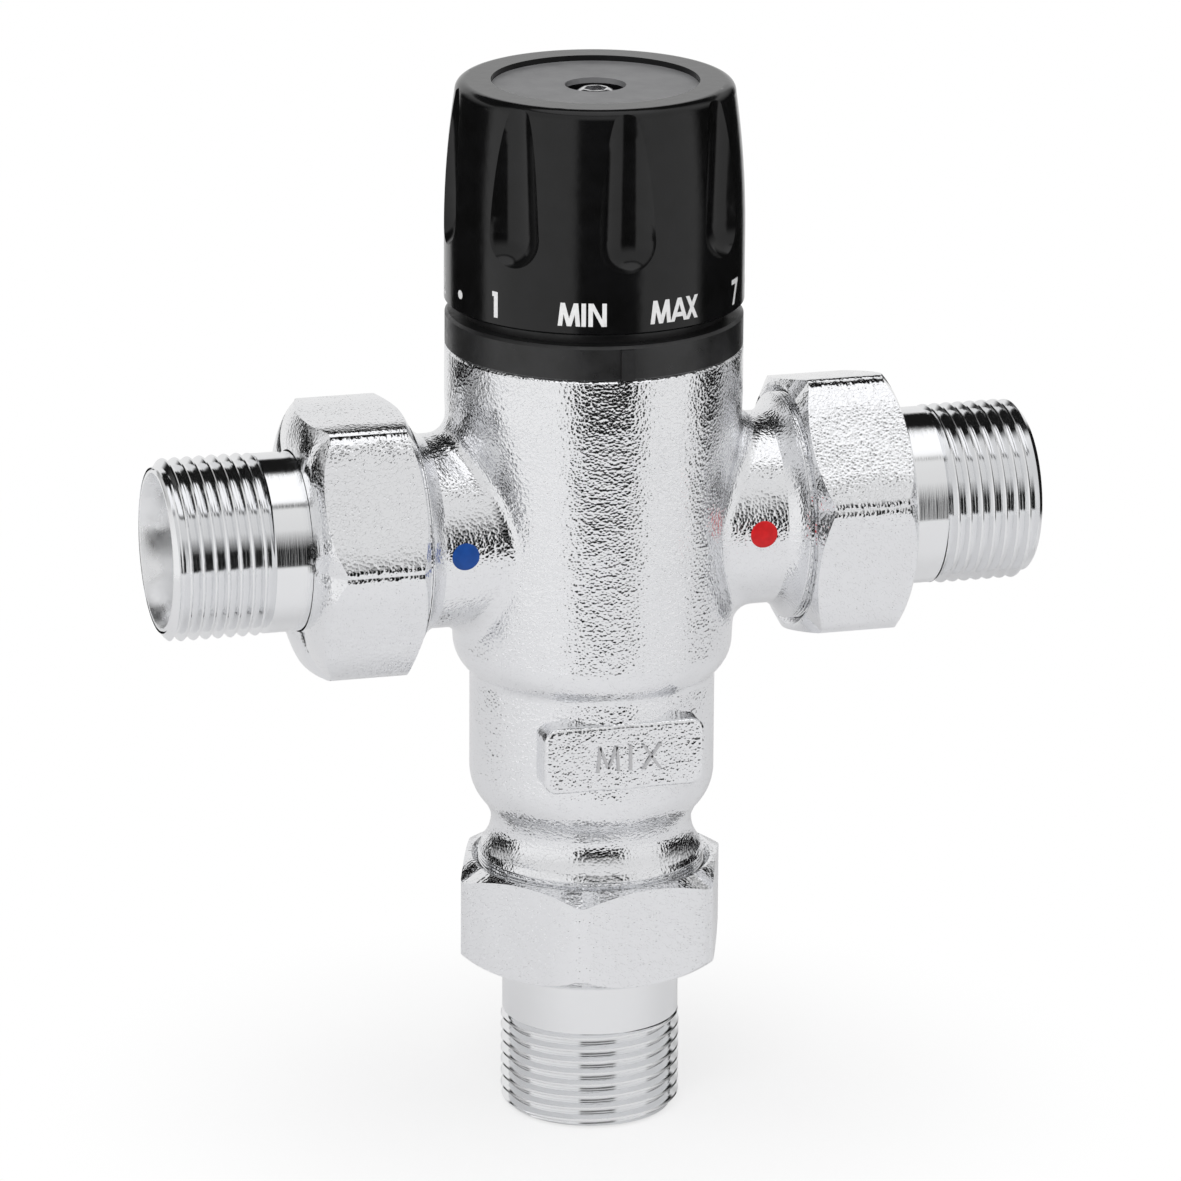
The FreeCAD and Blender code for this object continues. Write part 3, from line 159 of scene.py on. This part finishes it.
def bump(tree, shader, height, distance, strength=1.0, under=None):
    """A Bump node on the shader's normal."""
    node = add(tree, "ShaderNodeBump", Strength=strength, Distance=distance)
    tree.links.new(height, node.inputs["Height"])
    if under is not None:
        tree.links.new(under, node.inputs["Normal"])
    tree.links.new(node.outputs["Normal"], shader.inputs["Normal"])
    return node.outputs["Normal"]


def pillow(tree, across, up_from, facing):
    """Drop of a forged nut's six slightly crowned faces towards their corners, in metres."""
    flat_edge, corner, drop = 0.26, 0.578, -0.00075
    parts = tree.nodes.new("ShaderNodeSeparateXYZ")
    tree.links.new(place(tree), parts.inputs["Vector"])
    front = math_node(tree, "MULTIPLY", parts.outputs["Y"], -1)
    side = math_node(tree, "SUBTRACT", parts.outputs[across], up_from)
    faces = math_node(tree, "MULTIPLY", math_node(tree, "ARCTAN2", side, front), 3 / math.pi)
    faces = math_node(tree, "SUBTRACT", faces, facing / 60)
    nearest = math_node(tree, "ROUND", faces)
    off = math_node(tree, "ABSOLUTE", math_node(tree, "SUBTRACT", faces, nearest))
    along = math_node(tree, "TANGENT", math_node(tree, "MULTIPLY", off, math.pi / 3))
    past_flat = math_node(tree, "SUBTRACT", along, flat_edge)
    share = math_node(tree, "MULTIPLY", past_flat, 1 / (corner - flat_edge), clamp=True)
    return math_node(tree, "MULTIPLY", math_node(tree, "POWER", share, 2), drop)


def grained_chrome(name, grain, depth, pits, faces=None):
    """Chrome plate over shot-blast dimples and pits that lie on a slightly wavy forging."""
    wave_scale, wave_depth = 160, 0.00018
    pit_width, unevenness = 0.3, 0.9
    material, tree, shader = new_material(name)
    shader.inputs["Metallic"].default_value = 1
    shader.inputs["Base Color"].default_value = (0.86, 0.865, 0.88, 1)
    where = place(tree)
    under = None if faces is None else bump(tree, shader, pillow(tree, *faces), 1.0)
    under = bump(tree, shader, noise(tree, where, wave_scale, 1.0), wave_depth, under=under)
    cells = add(tree, "ShaderNodeTexVoronoi", Scale=grain)
    tree.links.new(where, cells.inputs["Vector"])
    dents = math_node(tree, "POWER", cells.outputs["Distance"], 2)
    uneven = math_node(tree, "MULTIPLY", noise(tree, where, grain * 0.6, 1.0), unevenness)
    chance = tree.nodes.new("ShaderNodeSeparateColor")
    tree.links.new(cells.outputs["Color"], chance.inputs["Color"])
    pit = math_node(tree, "MULTIPLY", cells.outputs["Distance"], 1 / pit_width, clamp=True)
    pit = math_node(tree, "MULTIPLY", pit, math_node(tree, "POWER", chance.outputs["Red"], 3))
    height = math_node(tree, "ADD", dents, uneven)
    height = math_node(tree, "ADD", height, math_node(tree, "MULTIPLY", pit, pits))
    bump(tree, shader, height, depth, under=under)
    vary(tree, shader, "Roughness", noise(tree, where, 180, 3.0, 0.6), [(0.3, 0.02), (0.7, 0.04)])
    return material


body_chrome = grained_chrome("body_chrome", 2150, 0.000041, 1.1)
# of each nut: the axis that its turn shows on, its centre there, and one face's turn
NUTS = {"cold": ("Z", AXIS_Z, 30), "hot": ("Z", AXIS_Z, 43), "mix": ("X", 0, 11)}


def give(node, material):
    """A CAD node takes a material in its slots."""
    mesh = frame["nodes"][node].data
    mesh.materials.clear()
    mesh.materials.append(material)
    for polygon in mesh.polygons:
        polygon.material_index = 0


give("valve_body", body_chrome)
for port, faces in NUTS.items():
    give(port + "_union_nut", grained_chrome(port + "_nut_chrome", 2000, 0.000038, 2.8, faces))


# ------------------------------------------------------------- tailpieces
# Three turned brass tailpieces, chrome plated bright, each held by its nut's
# lip. The outer end carries a right-hand G 3/4 pipe thread, cut full depth.
thread_pitch = 1.814 * MM
thread_crest = 13.22 * MM
thread_root = 12.06 * MM
thread_length = 14.5 * MM
tail_neck = 13.0 * MM
tail_bore = 10.0 * MM
mouth_radius, mouth_depth = 11.2 * MM, 2.6 * MM
strainer_radius, strainer_depth = 11.65 * MM, 0.55 * MM
lip_radius, lip_thick = 15.9 * MM, 3.2 * MM
round_steps = 96

at_axis = Matrix.Translation((0, 0, AXIS_Z))
PORTS = {
    "cold": at_axis @ Matrix.Rotation(math.radians(-90), 4, "Y"),
    "hot": at_axis @ Matrix.Rotation(math.radians(90), 4, "Y"),
    "mix": at_axis @ Matrix.Rotation(math.radians(180), 4, "X"),
}


def finish_piece(name, bm, material, body, smooth_angle=None):
    """The bmesh becomes an object at the origin that rides on a body."""
    bmesh.ops.remove_doubles(bm, verts=bm.verts, dist=1e-7)
    bmesh.ops.recalc_face_normals(bm, faces=bm.faces)
    mesh = bpy.data.meshes.new(name)
    bm.to_mesh(mesh)
    bm.free()
    piece = bpy.data.objects.new(name, mesh)
    bpy.context.collection.objects.link(piece)
    mesh.materials.append(material)
    if smooth_angle is not None:
        mesh.polygons.foreach_set("use_smooth", [True] * len(mesh.polygons))
        mesh.set_sharp_from_angle(angle=math.radians(smooth_angle))
    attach(piece, body)
    return piece


def turn_profile(bm, points):
    """A closed (radius, height) outline turned once about the Z axis."""
    ring = [bm.verts.new((r, 0, z)) for r, z in points]
    edges = [bm.edges.new((ring[i - 1], ring[i])) for i in range(len(ring))]
    bmesh.ops.spin(bm, geom=ring + edges, cent=(0, 0, 0), axis=(0, 0, 1), angle=math.tau,
                   steps=round_steps, use_merge=True)


def turned_chrome(name, along, dullness=1):
    """Bright chrome plate over fine turning lines that run round the given axis."""
    material, tree, shader = new_material(name)
    shader.inputs["Metallic"].default_value = 1
    shader.inputs["Base Color"].default_value = (0.87, 0.875, 0.885, 1)
    stretch = [60, 60, 60]
    stretch[along] = 9000
    lines = noise(tree, place(tree, stretch), 1.0, 2.0, 0.6)
    bump(tree, shader, lines, 0.000012)
    vary(tree, shader, "Roughness", noise(tree, place(tree), 260, 3.0, 0.6), [
        (0.35, 0.055 * dullness), (0.7, 0.11 * dullness)])
    return material


side_chrome = turned_chrome("turned_chrome_across", 0)
outlet_chrome = turned_chrome("turned_chrome_upright", 2)
bore_chrome = turned_chrome("bored_chrome", 0, 4)


def cut_thread(bm, start, end):
    """A helical thread shell between two heights, its first and last turns chamfered."""
    turns = int((end - start) / thread_pitch) + 3
    low = start - 1.5 * thread_pitch
    # one turn's outline: share of the pitch, share of the depth
    flank = [(0.00, 0.10), (0.10, 0.0), (0.40, 0.90), (0.50, 1.0), (0.60, 0.90), (0.90, 0.0)]
    points = []
    for turn in range(turns):
        for along, rise in flank:
            radius = thread_root + (thread_crest - thread_root) * rise
            points.append((radius, low + (turn + along) * thread_pitch))
    line = [bm.verts.new((r, 0, z)) for r, z in points]
    edges = [bm.edges.new(pair) for pair in zip(line, line[1:])]
    bmesh.ops.spin(bm, geom=line + edges, cent=(0, 0, 0), axis=(0, 0, 1), angle=math.tau,
                   dvec=(0, 0, thread_pitch / round_steps), steps=round_steps, use_merge=False)
    bmesh.ops.remove_doubles(bm, verts=bm.verts, dist=2e-6)
    for height, normal in ((start, (0, 0, -1)), (end, (0, 0, 1))):
        bmesh.ops.bisect_plane(bm, geom=bm.verts[:] + bm.edges[:] + bm.faces[:], dist=1e-8,
                               plane_co=(0, 0, height), plane_no=normal, clear_outer=True)
    run_out, lead_in, chamfer = 0.7, 1.15, 1.1 * MM
    core = thread_root - 0.25 * MM
    for vert in bm.verts:
        radius = math.hypot(vert.co.x, vert.co.y)
        allowed = min(tail_neck + (vert.co.z - start) * run_out,
                      thread_crest - (vert.co.z - (end - chamfer)) * lead_in)
        shrink = max(min(radius, allowed), core) / radius
        vert.co.x *= shrink
        vert.co.y *= shrink


for port, from_port in PORTS.items():
    low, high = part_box(port + "_tailpiece")
    if port == "mix":
        reach, collar = AXIS_Z, AXIS_Z - high[2]
        seat = [(tail_bore, collar)]
    else:
        reach, collar = max(high[0], -low[0]), min(abs(low[0]), abs(high[0]))
        seat = [(tail_bore, collar + strainer_depth), (strainer_radius, collar + strainer_depth),
                (strainer_radius, collar)]
    thread_start = reach - thread_length
    bm = bmesh.new()
    cut_thread(bm, thread_start, reach)
    turn_profile(bm, [
        *seat,
        (lip_radius, collar),
        (lip_radius, collar + lip_thick),
        (tail_neck, collar + lip_thick),
        (tail_neck, thread_start - 0.25 * MM),
        (thread_root - 0.2 * MM, thread_start + 0.55 * MM),
        (thread_root - 0.2 * MM, reach - 0.25 * MM),
        (thread_root - 0.45 * MM, reach),
        (mouth_radius, reach),
        (tail_bore, reach - mouth_depth),
    ])
    bmesh.ops.transform(bm, matrix=from_port, verts=bm.verts)
    tail = finish_piece(port + "_tail_thread", bm, outlet_chrome if port == "mix" else side_chrome,
                        "valve", 28)
    tail.data.materials.append(bore_chrome)
    to_port = from_port.inverted()
    for polygon in tail.data.polygons:
        centre = to_port @ polygon.center
        if math.hypot(centre.x, centre.y) < mouth_radius:
            polygon.material_index = 1
    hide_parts(port + "_tailpiece")


# ------------------------------------------------- threads of the body's ports
# The union nuts run on fine threads cut on the body's three collars. The last
# turns of each show where the nut's mouth ends.
collar_face = {"cold": 28.9 * MM, "hot": 28.9 * MM, "mix": 51.3 * MM}
collar_inner, collar_root = 15.6 * MM, 16.38 * MM
ridge_pitch, ridge_rise = 0.5 * MM, 0.24 * MM
for port, from_port in PORTS.items():
    start = collar_face[port] - 0.95 * MM
    points = [(collar_inner, start), (collar_root, start)]
    for ridge in range(4):
        foot = start + (ridge + 0.15) * ridge_pitch
        points += [(collar_root, foot), (collar_root + ridge_rise, foot + 0.3 * ridge_pitch),
                   (collar_root, foot + 0.75 * ridge_pitch)]
    points.append((collar_inner, points[-1][1]))
    bm = bmesh.new()
    turn_profile(bm, points)
    bmesh.ops.transform(bm, matrix=from_port, verts=bm.verts)
    finish_piece(port + "_collar_thread", bm, side_chrome, "valve", 35)


# ---------------------------------------------------------- inlet colour dots
# A drop of enamel on the front of each inlet boss: blue for cold, red for hot.
# Each is a thin lens of paint that follows the round of the boss.
dot_radius, boss_radius, dot_thick = 2.02 * MM, 14.15 * MM, 0.11 * MM


def enamel(name, colour):
    """Glossy paint in one slightly uneven colour."""
    material, tree, shader = new_material(name)
    where = place(tree)
    vary(tree, shader, "Base Color", noise(tree, where, 900), [
        (0.35, tuple(c * 0.9 for c in colour)), (0.65, tuple(min(1, c * 1.08) for c in colour))])
    shader.inputs["Roughness"].default_value = 0.35
    shader.inputs["Specular IOR Level"].default_value = 0.3
    bump(tree, shader, noise(tree, where, 1200, 1.0), 0.00001)
    return material


def lens_dot(name, across, colour):
    """A thin lens of paint that follows the boss, with a round edge."""
    bm = bmesh.new()
    bmesh.ops.create_uvsphere(bm, u_segments=48, v_segments=16, radius=1)
    for vert in bm.verts:
        x, z, lift = vert.co
        bulge = abs(lift) ** 0.5 * (1 if lift > 0 else -0.6)
        around = boss_radius + dot_thick * bulge
        angle = z * dot_radius / boss_radius
        vert.co = (across + x * dot_radius, -around * math.cos(angle),
                   AXIS_Z + around * math.sin(angle))
    finish_piece(name, bm, enamel(name + "_enamel", colour), "valve", 60)


lens_dot("cold_dot", -22.8 * MM, (0.008, 0.065, 0.30))
lens_dot("hot_dot", 21.8 * MM, (0.62, 0.012, 0.015))


# ------------------------------------------------------------ word on the pad
# The outlet's word stands on the pad in low letters with sloping sides, forged
# with the body and smoother than the grain round them.
pad_face = -18.25 * MM
word_across, word_foot = 0.6 * MM, AXIS_Z - 32.75 * MM
letter_width, letter_rise, letter_root, letter_slope = 0.62, 0.38, -0.15, 0.12
PAD_STROKES = [
    (-4.75, 0, -4.45, 3.75), (-4.45, 3.75, -3.2, 0.5), (-3.2, 0.5, -1.95, 3.75),
    (-1.95, 3.75, -1.65, 0), (0.15, 0, 0.15, 3.75), (2.0, 0, 4.6, 3.75), (2.0, 3.75, 4.6, 0),
]
# Painted shade: the letters' chrome takes a darker base colour than the pad's, so the word shows
# grey against it.
letter_chrome = grained_chrome("letter_chrome", 2300, 0.000012, 0)
letter_shader = letter_chrome.node_tree.nodes["Principled BSDF"]
letter_shader.inputs["Base Color"].default_value = (0.55, 0.55, 0.56, 1)


def bar(bm, x0, y0, x1, y1, width, low, high, slope=0.0):
    """One letter stroke: a bar with level ends, or upright ones where it runs across."""
    across = abs(x1 - x0) > abs(y1 - y0) * 1.2
    for vert in bmesh.ops.create_cube(bm, size=2)["verts"]:
        end, side, top = vert.co.y > 0, vert.co.x, vert.co.z > 0
        half = side * (width / 2 - (slope if top else 0))
        x, y = (x1, y1) if end else (x0, y0)
        vert.co = (x, y + half, 0) if across else (x + half, y, 0)
        vert.co.z = high if top else low


pad_letters = bmesh.new()
for stroke in PAD_STROKES:
    bar(pad_letters, *stroke, letter_width, letter_root, letter_rise, letter_slope)
for vert in pad_letters.verts:
    x, y, z = vert.co * MM
    vert.co = (x + word_across, pad_face - z, word_foot + y)
finish_piece("pad_word", pad_letters, letter_chrome, "valve")


# ------------------------------------------------------ index ring and knob
# The ring is a satin black moulding with the index rib. The knob is a gloss
# black moulding; its marks are pad-printed in white round the skirt.
def black_plastic(name, roughness, grain, gloss, dark):
    """Moulded black plastic with a faint haze and a fine grain."""
    material, tree, shader = new_material(name)
    where = place(tree)
    vary(tree, shader, "Base Color", noise(tree, where, 300, 3.0), [
        (0.3, dark), (0.7, (dark * 1.7, dark * 1.7, dark * 1.8))])
    shader.inputs["Specular IOR Level"].default_value = gloss
    vary(tree, shader, "Roughness", noise(tree, where, 420, 4.0, 0.65), [
        (0.3, roughness * 0.75), (0.75, roughness * 1.3)])
    bump(tree, shader, noise(tree, where, grain), 0.000012)
    return material


give("knob", black_plastic("knob_black", 0.14, 700, 0.36, 0.0035))
give("index_ring", black_plastic("ring_black", 0.34, 2500, 0.5, 0.009))

white_print, tree, shader = new_material("white_print")
where = place(tree)
vary(tree, shader, "Base Color", noise(tree, where, 1500), [(0.3, 0.78), (0.7, 0.88)])
shader.inputs["Roughness"].default_value = 0.45
bump(tree, shader, noise(tree, where, 2200, 1.0), 0.000008)

knob_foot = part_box("knob")[0][2]
skirt_radius = 21.7 * MM
ink, ink_clear = 0.012 * MM, 0.001 * MM
slice_width = 0.6 * MM
word_width, number_width = 0.64, 0.72
word_rise, number_rise, dot_rise = 1.35 * MM, 1.25 * MM, 2.9 * MM
number_height, mark_dot_radius = 3.7 * MM, 0.66 * MM
min_angle, max_angle = -20.2, 16.5
first_angle, angle_step = -56.7, -41.83

M_STROKES = [(0.30, 0, 0.70, 3.4), (0.70, 3.4, 1.62, 0), (1.62, 0, 2.60, 3.4), (2.60, 3.4, 2.90, 0)]
MIN_STROKES = M_STROKES + [
    (3.71, 0, 3.71, 3.4), (4.70, 0, 4.70, 3.4), (4.78, 3.4, 6.58, 0), (6.66, 0, 6.66, 3.4)]
MAX_STROKES = M_STROKES + [
    (3.50, 0, 4.62, 3.4), (4.62, 3.4, 5.74, 0), (4.0, 0.95, 5.24, 0.95), (6.05, 0, 7.65, 3.4),
    (6.05, 3.4, 7.65, 0)]
NUMBER_STROKES = {
    1: [(0.42, 0, 0.42, 3.8), (-0.25, 3.45, 0.42, 3.45)],
    7: [(0.6, 0, 2.0, 3.7), (0, 3.35, 2.3, 3.35)],
}


def thicken(bm, depth):
    """A flat shape is raised by the depth of its ink."""
    raised = bmesh.ops.extrude_face_region(bm, geom=bm.faces[:])["geom"]
    tops = [part for part in raised if isinstance(part, bmesh.types.BMVert)]
    bmesh.ops.translate(bm, vec=(0, 0, depth), verts=tops)


def word_mesh(text, height):
    """A flat word in a plain sans-serif alphabet, centred on its foot."""
    curve = bpy.data.curves.new("word", "FONT")
    curve.body = text
    holder = bpy.data.objects.new("word", curve)
    bpy.context.collection.objects.link(holder)
    seen = holder.evaluated_get(bpy.context.evaluated_depsgraph_get())
    mesh = bpy.data.meshes.new_from_object(seen)
    bpy.data.objects.remove(holder)
    bm = bmesh.new()
    bm.from_mesh(mesh)
    bmesh.ops.remove_doubles(bm, verts=bm.verts, dist=1e-5)
    heights = [v.co.y for v in bm.verts]
    sides = [v.co.x for v in bm.verts]
    scale = height / (max(heights) - min(heights))
    bmesh.ops.translate(bm, vec=(-(max(sides) + min(sides)) / 2, -min(heights), 0), verts=bm.verts)
    bmesh.ops.scale(bm, vec=(scale, scale, 1), verts=bm.verts)
    thicken(bm, ink)
    return bm


def stroke_mesh(strokes, width):
    """A flat sign made of bars, each a hair above the last, in millimetres."""
    bm = bmesh.new()
    sides = [x for stroke in strokes for x in (stroke[0], stroke[2])]
    middle = (max(sides) + min(sides)) / 2
    for layer, (x0, y0, x1, y1) in enumerate(strokes):
        bar(bm, x0 - middle, y0, x1 - middle, y1, width, 0, ink / MM * (0.7 + 0.04 * layer))
    bmesh.ops.scale(bm, vec=(MM, MM, MM), verts=bm.verts)
    return bm


def printed_mark(name, bm, angle, foot):
    """Wraps a flat mark round the skirt at an angle from the front, as thin as ink."""
    width = max(abs(v.co.x) for v in bm.verts)
    cuts = int(width / slice_width) + 1
    for cut in range(-cuts, cuts + 1):
        bmesh.ops.bisect_plane(bm, geom=bm.verts[:] + bm.edges[:] + bm.faces[:], dist=1e-7,
                               plane_co=(cut * slice_width, 0, 0), plane_no=(1, 0, 0))
    for vert in bm.verts:
        x, y, z = vert.co
        turn = math.radians(angle) + x / skirt_radius
        radius = skirt_radius + ink_clear + z
        vert.co = (radius * math.sin(turn), -radius * math.cos(turn), knob_foot + foot + y)
    finish_piece(name, bm, white_print, "knob_and_spindle")


printed_mark("mark_min", stroke_mesh(MIN_STROKES, word_width), min_angle, word_rise)
printed_mark("mark_max", stroke_mesh(MAX_STROKES, word_width), max_angle, word_rise)
for number in range(1, 8):
    angle = first_angle + angle_step * (number - 1)
    if number in NUMBER_STROKES:
        sign = stroke_mesh(NUMBER_STROKES[number], number_width)
    else:
        sign = word_mesh(str(number), number_height)
    printed_mark(f"mark_{number}", sign, angle, number_rise)
    if number < 7:
        dot = bmesh.new()
        bmesh.ops.create_circle(dot, cap_ends=True, segments=24, radius=mark_dot_radius)
        bmesh.ops.translate(dot, vec=(0, dot_rise, 0), verts=dot.verts)
        thicken(dot, ink)
        printed_mark(f"mark_dot_{number}", dot, angle + angle_step / 2, 0)


# ------------------------------------------------------------- knob plate
# A thin matt grey plate lies in the knob's top, with a hole over the screw
# that holds the knob.
plate_grey, tree, shader = new_material("plate_grey")
where = place(tree)
vary(tree, shader, "Base Color", noise(tree, where, 260, 4.0, 0.6), [
    (0.3, (0.18, 0.18, 0.185)), (0.7, (0.23, 0.23, 0.235))])
shader.inputs["Roughness"].default_value = 0.42
bump(tree, shader, noise(tree, where, 3000, 1.0), 0.00001)
give("knob_disc", plate_grey)


# -------------------------------------------- inside of the valve, and screw
# Brass headwork, spindle and cup, steel springs, clips and screw, rubber seals,
# plastic cartridges, fibre gaskets and the copper temperature element.
def metal(name, colour, roughness, grain):
    """Bare turned or drawn metal, a little uneven in colour and shine."""
    material, tree, shader = new_material(name)
    shader.inputs["Metallic"].default_value = 1
    where = place(tree)
    vary(tree, shader, "Base Color", noise(tree, where, 150, 3.0), [
        (0.3, tuple(c * 0.9 for c in colour)), (0.7, colour)])
    vary(tree, shader, "Roughness", noise(tree, where, 320, 3.0), [
        (0.3, roughness * 0.8), (0.7, roughness * 1.3)])
    bump(tree, shader, noise(tree, where, grain), 0.00001)
    return material


def soft(name, colour, roughness, grain, depth):
    """Rubber, fibre or plastic with a fine grain."""
    material, tree, shader = new_material(name)
    where = place(tree)
    vary(tree, shader, "Base Color", noise(tree, where, 200, 3.0), [
        (0.3, tuple(c * 0.85 for c in colour)), (0.7, colour)])
    shader.inputs["Roughness"].default_value = roughness
    bump(tree, shader, noise(tree, where, grain, 3.0), depth)
    return material


inner_finishes = {
    "brass": metal("turned_brass", (0.78, 0.58, 0.26), 0.22, 900),
    "steel": metal("bright_steel", (0.72, 0.72, 0.73), 0.18, 1200),
    "element_copper": metal("drawn_copper", (0.80, 0.45, 0.30), 0.25, 700),
    "seal_rubber": soft("seal_rubber", (0.02, 0.02, 0.02), 0.5, 1500, 0.00002),
    "gasket_fibre": soft("gasket_fibre", (0.16, 0.22, 0.20), 0.7, 2600, 0.00004),
    "inner_plastic": soft("inner_plastic", (0.74, 0.73, 0.68), 0.35, 900, 0.00001),
}
for subpart in frame["record"]["subparts"]:
    finish = inner_finishes.get(subpart["material_slot"])
    if finish is not None:
        give(subpart["node"], finish)


# -------------------------------------------------------------------- springs
# Four compression springs of bright steel wire, each between a fixed seat and
# one that slides. Each becomes a copy of its part that rides on its own body.
behaviour = frame["record"]["behaviour"]
for joint in behaviour["joints"]:
    for row in joint.get("deforming_nodes", ()):
        node, letter = row["node"], row["mode"][-1]
        along = "xyz".index(letter)
        low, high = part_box(node)
        fixed = row[f"fixed_end_{letter}_m"]
        axis, anchor = [0, 0, 0], [0, 0, 0]
        axis[along], anchor[along] = 1, fixed
        bm = bmesh.new()
        bm.from_mesh(frame["nodes"][node].data)
        home = next(name for name, nodes in behaviour["bodies"].items() if node in nodes)
        coil = finish_piece(node + "_coil", bm, inner_finishes["steel"], home, 50)
        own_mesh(coil)
        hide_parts(node)


# --------------------------------------------------------- floor and light
# A pale table under the valve that runs out to white, and a bright studio all
# round: a soft box overhead, dark cards beside and behind, pale walls between.
floor_radius, floor_gap = 0.36, 0.0004
floor_mesh = bmesh.new()
bmesh.ops.create_circle(floor_mesh, cap_ends=True, segments=96, radius=floor_radius)
floor_data = bpy.data.meshes.new("floor")
floor_mesh.to_mesh(floor_data)
floor_mesh.free()
floor = bpy.data.objects.new("floor", floor_data)
floor.location.z = -floor_gap
bpy.context.collection.objects.link(floor)


def smooth_rise(tree, source, start, end, low=0.0, high=1.0):
    """Goes smoothly from low to high while the source goes from start to end."""
    node = add(tree, "ShaderNodeMapRange", interpolation_type="SMOOTHSTEP")
    ends = {"From Min": start, "From Max": end, "To Min": low, "To Max": high}
    for socket, amount in ends.items():
        node.inputs[socket].default_value = amount
    tree.links.new(source, node.inputs["Value"])
    return node.outputs["Result"]


def mixed_shader(tree, factor, first, second):
    """Goes from the first shader to the second as the factor rises."""
    node = tree.nodes.new("ShaderNodeMixShader")
    for socket, source in ((0, factor), (1, first), (2, second)):
        tree.links.new(source, node.inputs[socket])
    return node.outputs["Shader"]


floor_paint, tree, shader = new_material("floor_paint")
shader.inputs["Base Color"].default_value = (0.92, 0.92, 0.925, 1)
shader.inputs["Roughness"].default_value = 0.7
shader.inputs["Specular IOR Level"].default_value = 0.1
glow = add(tree, "ShaderNodeEmission", Strength=1.0)
path = tree.nodes.new("ShaderNodeLightPath")
reach = tree.nodes.new("ShaderNodeVectorMath")
reach.operation = "LENGTH"
tree.links.new(place(tree), reach.inputs[0])
distance = reach.outputs["Value"]
whiteness = smooth_rise(tree, distance, 0.018, 0.085, 0.72)
seen_white = math_node(tree, "MULTIPLY", path.outputs["Is Camera Ray"], whiteness)
paint = mixed_shader(tree, seen_white, shader.outputs["BSDF"], glow.outputs["Emission"])
clear = tree.nodes.new("ShaderNodeBsdfTransparent")
edge = smooth_rise(tree, distance, 0.28, floor_radius)
tree.links.new(mixed_shader(tree, edge, paint, clear.outputs["BSDF"]),
               tree.nodes["Material Output"].inputs["Surface"])
floor_data.materials.append(floor_paint)

world = bpy.data.worlds.new("studio")
bpy.context.scene.world = world
world.use_nodes = True
tree = world.node_tree
sky = tree.nodes["Background"]
coords = tree.nodes.new("ShaderNodeTexCoord")
spun = tree.nodes.new("ShaderNodeVectorRotate")
spun.rotation_type = "Z_AXIS"
spun.inputs["Angle"].default_value = -view_turn
tree.links.new(coords.outputs["Generated"], spun.inputs["Vector"])
parts = tree.nodes.new("ShaderNodeSeparateXYZ")
tree.links.new(spun.outputs["Vector"], parts.inputs["Vector"])
x, y, z = parts.outputs
turn = math_node(tree, "ARCTAN2", x, math_node(tree, "MULTIPLY", y, -1))
bearing = math_node(tree, "ADD", math_node(tree, "MULTIPLY", turn, 1 / math.tau), 0.5)
tilt = math_node(tree, "ARCSINE", z)
rise = math_node(tree, "ADD", math_node(tree, "MULTIPLY", tilt, 1 / math.pi), 0.5)


def by_bearing(stops):
    """Brightness by the bearing from the camera in degrees, to the right positive."""
    return ramp(tree, bearing, [(degrees / 360 + 0.5, grey) for degrees, grey in stops])


def by_rise(stops):
    """Brightness by the height above the horizon in degrees."""
    return ramp(tree, rise, [(degrees / 180 + 0.5, grey) for degrees, grey in stops])


def mixed(factor, first, second):
    """Goes from the first to the second as the factor rises."""
    node = tree.nodes.new("ShaderNodeMix")
    node.data_type = "RGBA"
    tree.links.new(factor, node.inputs["Factor"])
    for socket, source in ((6, first), (7, second)):
        if isinstance(source, tuple):
            node.inputs[socket].default_value = source
        else:
            tree.links.new(source, node.inputs[socket])
    return node.outputs[2]


cards = by_bearing([
    (-180, 0.85), (-146, 0.85), (-140, 0.01), (-96, 0.01), (-90, 0.95), (-16, 0.90), (-11, 0.01),
    (33, 0.01), (38, 0.86), (84, 0.86), (91, 0.01), (156, 0.01), (162, 0.85), (180, 0.85)])
left_front = by_rise([(-90, 0.8), (5, 0.74), (56, 0.82), (59, 0.2), (63, 0.2), (66, 1.0)])
right_front = by_rise([(-90, 0.8), (5, 0.74), (54, 0.84), (58, 1.0)])
front = mixed(by_bearing([(46, 0), (54, 1)]), left_front, right_front)
behind = by_rise([(-90, 0.85), (27, 0.84), (30, 0.01), (64, 0.01), (66, 1.0)])
is_behind = by_bearing([(-106, 1), (-90, 0), (112, 0), (135, 1)])
is_high = by_rise([(6, 0), (30, 1)])
is_overhead = by_rise([(61, 0), (67, 1)])
walls = mixed(is_high, cards, mixed(is_behind, front, behind))
walls = mixed(is_overhead, walls, (1.17, 1.17, 1.18, 1))
path = tree.nodes.new("ShaderNodeLightPath")
tree.links.new(mixed(path.outputs["Is Camera Ray"], walls, (1, 1, 1, 1)), sky.inputs["Color"])
sky.inputs["Strength"].default_value = 1.0

key_data = bpy.data.lights.new("key", "AREA")
key_data.shape = "DISK"
key_data.size = 0.5
key_data.energy = 4
key = bpy.data.objects.new("key", key_data)
bpy.context.collection.objects.link(key)
key.location = Vector((-0.35, -0.75, 0.75))
to_valve = Vector((0, 0, AXIS_Z)) - key.location
key.rotation_euler = to_valve.to_track_quat("-Z", "Y").to_euler()
key.visible_glossy = False

bpy.context.scene.view_settings.view_transform = "Standard"
